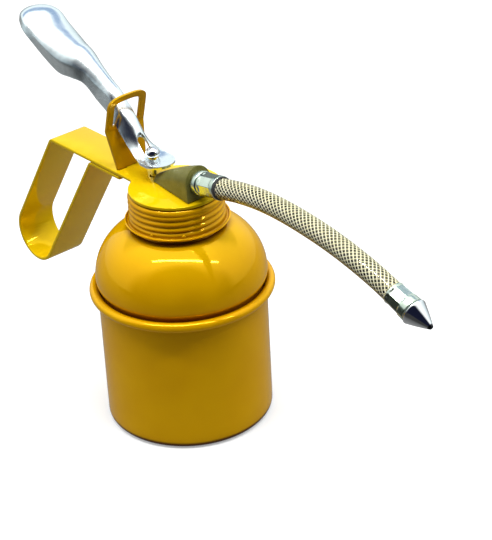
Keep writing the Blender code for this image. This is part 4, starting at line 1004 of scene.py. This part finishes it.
def make_tip_fittings(looks, line):
    """Crimped sleeve and nozzle cone at the hose's end."""
    place = frame_along(line[-1], (line[-1] - line[-2]).normalized())
    start = GAP
    end = start + TIP_FERRULE_LENGTH
    profile = sleeve_profile(start, end, TIP_FERRULE_MOUTH, TIP_FERRULE_RADIUS, FITTING_TAIL + GAP)
    press = facet(0.0005, start + 0.0008, end - 0.0030, 0.0010, 0.532)
    tip = revolve("tip_sleeve", profile, SLEEVE_STEPS, looks["painted_reflection_flats"], 22, True, place, press)
    root = end + GAP
    point = root + NOZZLE_CONE
    shoulder = point - 0.0004
    profile = [(NOZZLE_BORE, point - 0.0030), (NOZZLE_BORE, point - 0.0002), (NOZZLE_BORE + 0.0001, point)]
    profile += [(NOZZLE_TIP_RADIUS * 0.75, point), (NOZZLE_TIP_RADIUS, shoulder)]
    for i in range(1, 12):
        share = i / 12
        radius = NOZZLE_TIP_RADIUS + (NOZZLE_RADIUS - NOZZLE_TIP_RADIUS) * share
        bow = 0.00012 * math.sin(math.pi * share)
        profile.append((radius + bow, shoulder + (root + NOZZLE_LAND - shoulder) * share))
    profile += [(NOZZLE_RADIUS, root + NOZZLE_LAND), (NOZZLE_RADIUS, root + NOZZLE_LAND / 2)]
    profile += [(NOZZLE_RADIUS - 0.0003, root), (FITTING_TAIL, root)]
    profile += [(FITTING_TAIL, start + 0.0010), (NOZZLE_BORE, start + 0.0010)]
    cone = revolve("nozzle_cone", profile, FITTING_STEPS, looks["painted_dark_tip"], 30, closed=True, place=place)
    return tip, cone


# Materials

class Nodes:
    """A tree whose nodes are made and linked in short steps. Colours are given as RGB."""

    def __init__(self, tree):
        self.tree = tree

    def feed(self, target, value):
        """Set a socket to a plain value, or link another socket to it."""
        if isinstance(value, bpy.types.NodeSocket):
            self.tree.links.new(value, target)
        elif target.type == "RGBA":
            target.default_value = (*value, 1.0)
        else:
            target.default_value = value

    def node(self, kind, inputs, **values):
        """A shader node with its values set and its inputs fed, by name or number."""
        made = self.tree.nodes.new("ShaderNode" + kind)
        for key, value in values.items():
            setattr(made, key, value)
        for key, value in inputs.items():
            self.feed(made.inputs[key], value)
        return made

    def math(self, operation, first, second=0.0, **values):
        return self.node("Math", {0: first, 1: second}, operation=operation, **values).outputs[0]

    def dot(self, vector, direction):
        inputs = {0: vector, 1: direction}
        return self.node("VectorMath", inputs, operation="DOT_PRODUCT").outputs["Value"]

    def height(self, vector):
        return self.node("SeparateXYZ", {"Vector": vector}).outputs["Z"]

    def span(self, value, low, high, out_low=0.0, out_high=1.0, curve="LINEAR"):
        """Map a range of a value to another, held at its ends."""
        inputs = {"Value": value, "From Min": low, "From Max": high, "To Min": out_low, "To Max": out_high}
        return self.node("MapRange", inputs, interpolation_type=curve).outputs["Result"]

    def mix(self, share, first, second):
        """A colour between two colours."""
        return self.node("Mix", {0: share, 6: first, 7: second}, data_type="RGBA").outputs[2]

    def blend(self, value, first, second, low=0.3, high=0.7):
        """A colour that goes from the first to the second as a value crosses a range."""
        return self.mix(self.span(value, low, high), first, second)


class Look(Nodes):
    """A material with detail from noise on object coordinates."""

    def __init__(self, name):
        self.mat = bpy.data.materials.new(name)
        self.mat.use_nodes = True
        super().__init__(self.mat.node_tree)
        self.shader = self.tree.nodes["Principled BSDF"]
        coordinates = self.node("TexCoord", {}).outputs
        self.place = coordinates["Object"]
        self.facing = coordinates["Normal"]

    def noise(self, scale, detail=2.0, rough=0.5, place=None):
        inputs = {"Vector": place or self.place, "Scale": scale, "Detail": detail, "Roughness": rough}
        return self.node("TexNoise", inputs).outputs["Fac"]

    def lines(self, scale, turn=(0.0, 0.0, 0.0)):
        """Noise drawn out into lines by its own scale on each axis."""
        inputs = {"Vector": self.place, "Rotation": turn, "Scale": scale}
        return self.noise(1.0, 3.0, 0.6, self.node("Mapping", inputs).outputs["Vector"])

    def bump(self, height, distance, strength=1.0, under=None):
        inputs = {"Height": height, "Distance": distance, "Strength": strength}
        if under is not None:
            inputs["Normal"] = under
        return self.node("Bump", inputs).outputs["Normal"]

    def finish(self, color, roughness, metallic=0.0, normal=None, **sockets):
        self.feed(self.shader.inputs["Base Color"], color)
        self.feed(self.shader.inputs["Roughness"], roughness)
        self.feed(self.shader.inputs["Metallic"], metallic)
        if normal is not None:
            self.feed(self.shader.inputs["Normal"], normal)
        for name, value in sockets.items():
            self.shader.inputs[name.replace("_", " ")].default_value = value
        return self.mat

    def join(self, share, other):
        """Mix another shader into the surface."""
        mixed = self.node("MixShader", {0: share, 1: self.shader.outputs["BSDF"], 2: other})
        self.feed(self.tree.nodes["Material Output"].inputs["Surface"], mixed.outputs["Shader"])
        return self.mat


def enamel(name, fold_shade_reach, fold_shade_share, painted_top_light, depth=1.0, green=1.0):
    """Glossy yellow enamel: uneven film, painted brown shade in the folds, painted light on faces that look
    up, and painted dark shade at the very foot.
    """
    look = Look(name)
    cloud = look.noise(26.0, 3.0)
    first = (0.720 * depth, 0.345 * depth * green, 0.0)
    second = (0.770 * depth, 0.390 * depth * green, 0.0004)
    color = look.blend(cloud, first, second, 0.35, 0.65)
    # Painted light: faces that look up are painted a lighter, brighter yellow.
    level = look.span(look.height(look.facing), 0.55, 0.98, 0.0, painted_top_light)
    color = look.mix(level, color, (0.900, 0.600, 0.003))
    # Painted shade: where little is open around a point, in folds, thread roots and under the rim, the colour
    # is painted dark brown.
    openness = look.node("AmbientOcclusion", {"Distance": fold_shade_reach}, samples=8).outputs["AO"]
    fold_shade = look.span(openness, 0.25, 0.85, fold_shade_share, 0.0)
    color = look.mix(fold_shade, color, (0.240, 0.060, 0.0))
    # Painted shade: the lowest few millimetres of height are painted near black-brown.
    foot = look.math("ADD", look.height(look.place), look.math("MULTIPLY", cloud, 0.0008))
    color = look.mix(look.span(foot, 0.0026, 0.0038, 0.95, 0.0), color, (0.070, 0.018, 0.002))
    roughness = look.span(look.noise(90.0, 4.0, 0.65), 0.35, 0.75, 0.045, 0.10)
    wavy = look.bump(look.noise(58.0, 1.0), 0.0010, 0.25)
    normal = look.bump(look.noise(620.0, 2.0, 0.55), 0.00004, 0.25, wavy)
    return look.finish(color, roughness, 0.24, normal, Specular_IOR_Level=0.11)


def aluminium():
    """Polished sheet with fine lengthwise polishing lines and faint smears."""
    look = Look("polished_aluminium")
    lines = look.lines((70.0, 1500.0, 1500.0), (0.0, 0.40, 0.0))
    smears = look.noise(75.0, 3.0, 0.6)
    soft = look.span(smears, 0.35, 0.70, 0.15, 0.27)
    roughness = look.math("ADD", soft, look.math("MULTIPLY", lines, 0.06))
    color = look.blend(smears, (0.78, 0.87, 0.88), (0.88, 0.94, 0.95))
    dents = look.bump(look.noise(95.0, 2.0), 0.0009, 0.35)
    return look.finish(color, roughness, 1.0, look.bump(lines, 0.00002, 0.5, dents))


def plated(name, painted_reflection_side=None):
    """Plated steel with fine turning lines and a green-grey tone. One flat can carry a painted dark
    reflection.
    """
    look = Look(name)
    smears = look.noise(160.0, 3.0, 0.6)
    fine = look.noise(1900.0, 2.0, 0.6)
    color = look.blend(smears, (0.50, 0.60, 0.49), (0.70, 0.79, 0.68))
    # Painted reflection: the flat that faces the given way is painted near black-green.
    if painted_reflection_side:
        share = look.span(look.dot(look.facing, painted_reflection_side), 0.93, 0.96, 0.0, 0.9)
        color = look.mix(share, color, (0.050, 0.070, 0.045))
    roughness = look.span(smears, 0.3, 0.75, 0.18, 0.34)
    normal = look.bump(fine, 0.00002, 0.4, look.bump(smears, 0.0003, 0.25))
    return look.finish(color, roughness, 1.0, normal)


def polished(name, painted_shade_end=None):
    """Mirror-bright turned steel, painted black round one point as shade."""
    look = Look(name)
    smears = look.noise(220.0, 3.0, 0.6)
    color = look.blend(smears, (0.74, 0.77, 0.78), (0.84, 0.86, 0.87))
    # Painted shade: near black within two millimetres of the given point.
    if painted_shade_end:
        away = look.node("VectorMath", {0: look.place, 1: painted_shade_end}, operation="DISTANCE").outputs["Value"]
        color = look.mix(look.span(away, 0.0015, 0.0019, 0.95, 0.0), color, (0.012, 0.012, 0.016))
    roughness = look.span(smears, 0.3, 0.8, 0.04, 0.13)
    return look.finish(color, roughness, 1.0, look.bump(look.noise(1500.0, 2.0), 0.00001, 0.3))


def casting():
    """Olive-grey zinc casting with a pebbled skin."""
    look = Look("cast_zinc")
    broad = look.noise(140.0, 4.0, 0.6)
    grain = look.noise(1300.0, 3.0, 0.6)
    color = look.blend(broad, (0.130, 0.122, 0.020), (0.188, 0.176, 0.038))
    specks = look.span(look.noise(2600.0, 1.0), 0.62, 0.72, 0.0, 0.5)
    color = look.mix(specks, color, (0.30, 0.28, 0.12))
    roughness = look.span(grain, 0.3, 0.7, 0.38, 0.58)
    normal = look.bump(grain, 0.00008, 0.6, look.bump(broad, 0.0004, 0.3))
    return look.finish(color, roughness, 0.25, normal, Specular_IOR_Level=0.30)


def yarn(name, light, dark, fibre):
    """Pale strands with fibres along them, with painted olive shade on their lower side."""
    look = Look(name)
    fibres = look.noise(2600.0, 3.0, 0.6)
    color = look.blend(look.noise(180.0, 2.0), dark, light)
    color = look.mix(look.span(fibres, 0.45, 0.75, 0.0, 0.35), color, fibre)
    # Painted shade: the strands' lower side is painted dark olive.
    low = look.span(look.height(look.facing), -0.45, 0.30, 0.92, 0.0)
    color = look.mix(low, color, (0.330, 0.270, 0.045))
    roughness = look.span(fibres, 0.3, 0.7, 0.28, 0.5)
    return look.finish(color, roughness, 0.0, look.bump(fibres, 0.00005, 0.6))


def core():
    """Inner tube, near black behind the strands, with painted olive light on its lower side."""
    look = Look("hose_inner_tube")
    broad = look.noise(240.0, 3.0)
    color = look.blend(broad, (0.005, 0.004, 0.002), (0.012, 0.010, 0.004))
    # Painted light: the lower side is painted olive, as if lit from the yellow can below.
    low = look.span(look.height(look.facing), -0.9, -0.2, 0.8, 0.0)
    color = look.mix(low, color, (0.150, 0.125, 0.020))
    roughness = look.span(broad, 0.3, 0.7, 0.2, 0.35)
    return look.finish(color, roughness, 0.0, look.bump(broad, 0.0002, 0.3))


def jacket():
    """Clear jacket, faintly yellow, scuffed in places, with painted shade in darker yellow on its lower side.
    Lamps shine through it.
    """
    look = Look("hose_jacket")
    scuffs = look.noise(420.0, 4.0, 0.65)
    tint = look.blend(look.noise(60.0, 2.0), (0.97, 0.96, 0.88), (0.98, 0.975, 0.93))
    # Painted shade: the lower side is tinted darker yellow.
    low = look.span(look.height(look.facing), -0.75, 0.10, 1.0, 0.0)
    tint = look.mix(low, tint, (0.60, 0.52, 0.16))
    roughness = look.span(scuffs, 0.5, 0.8, 0.0, 0.05)
    look.finish(tint, roughness, 0.0, look.bump(scuffs, 0.00001, 0.2), Transmission_Weight=1.0, IOR=1.42)
    clear = look.node("BsdfTransparent", {"Color": (0.95, 0.94, 0.86)}).outputs["BSDF"]
    return look.join(look.node("LightPath", {}).outputs["Is Shadow Ray"], clear)


def drawn_steel():
    """Drawn steel for tube, balls and springs."""
    look = Look("drawn_steel")
    lines = look.lines((1800.0, 1800.0, 60.0))
    color = look.mix(lines, (0.46, 0.46, 0.45), (0.66, 0.66, 0.65))
    roughness = look.span(lines, 0.3, 0.7, 0.16, 0.32)
    return look.finish(color, roughness, 1.0, look.bump(lines, 0.00002, 0.5))


def brass():
    """Turned brass, slightly dulled by oil."""
    look = Look("turned_brass")
    rings = look.lines((90.0, 90.0, 2600.0))
    film = look.noise(130.0, 3.0)
    color = look.blend(film, (0.55, 0.36, 0.12), (0.76, 0.55, 0.24))
    roughness = look.span(film, 0.3, 0.7, 0.22, 0.42)
    return look.finish(color, roughness, 1.0, look.bump(rings, 0.00003, 0.5))


def rubber():
    """Black moulded rubber with a dull bloom."""
    look = Look("black_rubber")
    bloom = look.noise(320.0, 4.0, 0.6)
    color = look.blend(bloom, (0.018, 0.018, 0.018), (0.060, 0.058, 0.055), 0.4, 0.75)
    roughness = look.span(bloom, 0.3, 0.7, 0.55, 0.80)
    return look.finish(color, roughness, 0.0, look.bump(bloom, 0.00006, 0.5))


def leather():
    """Oiled leather of the piston cup, with a fine pebble."""
    look = Look("cup_leather")
    pebble = look.noise(2200.0, 3.0, 0.6)
    color = look.blend(look.noise(300.0, 2.0), (0.16, 0.080, 0.035), (0.30, 0.165, 0.080))
    roughness = look.span(pebble, 0.3, 0.7, 0.45, 0.70)
    return look.finish(color, roughness, 0.0, look.bump(pebble, 0.00008, 0.7))


def make_looks(line):
    """All materials by the names that the pieces use."""
    return {
        # Copies of one enamel that differ in painted shade, painted top light and tone. The stirrup's copy,
        # upright, is darkened to 0.70 as painted shade.
        "enamel": enamel("yellow_enamel", 0.0012, 0.35, 1.0),
        "upright": enamel("yellow_enamel_upright_painted_shade", 0.0040, 0.70, 0.3, 0.70, 1.05),
        "strap": enamel("yellow_enamel_strap", 0.0012, 0.35, 1.0, 0.94, 1.34),
        "folded": enamel("yellow_enamel_folds", 0.0040, 0.90, 0.3),
        "shaded": enamel("yellow_enamel_dome", 0.0180, 0.95, 0.3, 1.0, 1.04),
        "drawn": enamel("yellow_enamel_cup", 0.0080, 0.65, 0.0, 1.05, 1.05),
        "aluminium": aluminium(),
        "plated": plated("plated_steel"),
        "painted_reflection_flats": plated("plated_steel_flats_painted_reflection", (0.046, -0.990, 0.131)),
        "painted_reflection_top": plated("plated_steel_top_flat_painted_reflection", (-0.156, -0.093, 0.980)),
        "polished": polished("polished_steel"),
        "painted_dark_tip": polished("polished_steel_painted_dark_tip", tuple(nozzle_end(line))),
        "casting": casting(), "core": core(), "jacket": jacket(),
        "yarn": yarn("hose_yarn", (0.94, 0.93, 0.86), (0.88, 0.86, 0.74), (0.62, 0.58, 0.42)),
        # The under strands' darker, yellower tones are painted shade, as they lie beneath.
        "yarn_under": yarn("hose_yarn_under_painted_shade", (0.86, 0.83, 0.62), (0.79, 0.75, 0.52), (0.54, 0.50, 0.28)),
        "steel": drawn_steel(), "brass": brass(), "rubber": rubber(), "leather": leather(),
    }


# Stage

def make_stage():
    """White floor, white surroundings and two ceiling lamps."""
    bm = bmesh.new()
    bmesh.ops.create_grid(bm, x_segments=1, y_segments=1, size=4.0)
    floor = solid(bm, "floor", floor_material(), 30)
    floor.location.z = -0.0002
    make_sky()
    add_lamp("ceiling_tube", (0.205, -0.22, 1.2), (0.87, 0.82), 1.20, 0.054, TUBE_POWER)
    add_lamp("far_tube", (0.85, 0.505, 1.2), (0.16, 0.27), 0.31, 0.048, TUBE_POWER * 0.26)


def make_sky():
    """Plain soft light from above, dim near the horizon. The camera sees it white."""
    world = bpy.data.worlds.new("surroundings")
    bpy.context.scene.world = world
    world.use_nodes = True
    sky = Nodes(world.node_tree)
    sky.tree.nodes.clear()
    toward = sky.node("TexCoord", {}).outputs["Generated"]
    climb = sky.height(toward)
    behind = sky.dot(toward, (-0.77, 0.64, 0.0))
    far = sky.span(behind, -0.48, -0.20, curve="SMOOTHSTEP")
    bend = sky.span(far, 0.0, 1.0, 2.2, 1.0)
    share = sky.math("POWER", sky.math("MAXIMUM", climb, 0.0), bend, use_clamp=True)
    low = sky.mix(far, NEAR_HORIZON, FAR_HORIZON)
    color = sky.mix(share, low, (SKY_TOP, SKY_TOP, SKY_TOP * 0.985))
    # Blue band on the far side, which the grip's crest mirrors
    off = sky.math("ABSOLUTE", sky.math("SUBTRACT", climb, 0.65))
    band = sky.span(off, 0.09, 0.17, 0.85, 0.0, "SMOOTHSTEP")
    band = sky.math("MULTIPLY", band, sky.span(behind, 0.30, 0.52))
    color = sky.mix(band, color, (0.180, 0.320, 0.600))
    # Dark card beside the camera, which the lever's nose mirrors
    card = sky.span(sky.dot(toward, (0.698, -0.629, 0.342)), 0.62, 0.80, curve="SMOOTHSTEP")
    color = sky.mix(card, color, (0.010, 0.012, 0.030))
    seen = sky.node("LightPath", {}).outputs["Is Camera Ray"]
    back = sky.node("Background", {"Color": sky.mix(seen, color, (1.0, 1.0, 1.0))})
    sky.node("OutputWorld", {"Surface": back.outputs["Background"]})


def add_lamp(name, place, along, length, width, power):
    """A rectangular lamp that shines straight down, its long side along a level direction."""
    data = bpy.data.lights.new(name, "AREA")
    data.shape = "RECTANGLE"
    data.size = length
    data.size_y = width
    data.energy = power
    lamp = placed(name, data)
    z = Vector((0.0, 0.0, 1.0))
    x = Vector((*along, 0.0)).normalized()
    lamp.matrix_world = Matrix.Translation(place) @ Matrix((x, z.cross(x), z)).transposed().to_4x4()


def floor_material():
    """White paper. The camera sees it near plain white, and mirrors see it fade towards the camera."""
    look = Look("white_floor")
    grain = look.noise(900.0, 2.0)
    path = look.node("LightPath", {}).outputs
    camera = path["Is Camera Ray"]
    forward = look.dot(look.place, (0.77, -0.64, 0.0))
    bright = look.mix(grain, (0.95, 0.955, 0.955), (0.97, 0.975, 0.975))
    # Painted shade: for all rays but the camera's the floor is grey, and darker towards the camera.
    dull = look.mix(grain, (0.32, 0.32, 0.32), (0.36, 0.36, 0.36))
    dull = look.blend(forward, dull, (0.10, 0.10, 0.11), 0.10, 0.24)
    look.finish(look.mix(camera, dull, bright), 0.95, Specular_IOR_Level=0.0)
    # Painted glow: the camera and mirrors see the floor give off light, most on the side away from the
    # camera.
    behind = look.span(forward, -0.13, -0.06, 0.62, 0.32)
    mirrored = look.math("MINIMUM", behind, look.span(forward, 0.06, 0.26, 0.32, 0.05))
    strength = look.math("MAXIMUM", camera, mirrored)
    glow = look.node("Emission", {"Color": (1.0, 1.0, 1.0), "Strength": strength}).outputs["Emission"]
    seen = look.math("MAXIMUM", path["Is Glossy Ray"], path["Is Transmission Ray"])
    return look.join(look.math("MAXIMUM", look.math("MULTIPLY", camera, 0.35), seen), glow)


def dress_nodes(looks):
    """Give each solid that stays as it is its own detailed material."""
    wear = {
        "steel": ["foot_ball", "suction_tube", "return_spring", "discharge_ball", "discharge_spring"],
        "brass": ["piston", "piston_nut", "pump_barrel", "foot_valve", "stud_nut"],
        "casting": ["pump_head"],
        "rubber": ["cap_gasket", "rod_packing", "stud_washer"],
        "leather": ["piston_cup"],
    }
    for key, names in wear.items():
        for name in names:
            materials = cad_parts[name].data.materials
            materials.clear()
            materials.append(looks[key])


def add(obj, body, node):
    """Let a piece ride on its body and stand for its solid."""
    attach(obj, body)
    if node:
        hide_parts(node)


def main():
    bpy.context.scene.view_settings.view_transform = "Standard"
    make_camera()
    line = hose_line()
    looks = make_looks(line)
    jacket_piece, inside = make_hose(looks, line)
    collar, base, mouth_shade_ring = make_base_fittings(looks)
    tip, cone = make_tip_fittings(looks, line)
    add(collar, "head", "hose_fitting")
    add(base, "head", "base_ferrule")
    add(mouth_shade_ring, "head", None)
    add(tip, "head", "tip_ferrule")
    add(cone, "head", "nozzle_tip")
    add(make_cup(looks["drawn"]), "can", "can_cup")
    add(make_dome(looks["shaded"]), "can", "can_dome")
    add(make_cap(looks["folded"]), "head", "screw_cap")
    for nick in make_lip_nicks(looks["enamel"]):
        add(nick, "head", None)
    add(make_strap(looks["strap"]), "head", "handle_strap")
    add(make_stirrup(looks["upright"]), "head", "lever_stirrup")
    add(make_lever(looks["aluminium"]), "lever", "lever")
    add(make_plunger(looks["polished"]), "plunger", "plunger_rod")
    add(make_block(looks["casting"]), "head", "outlet_block")
    dress_nodes(looks)
    make_stage()


main()
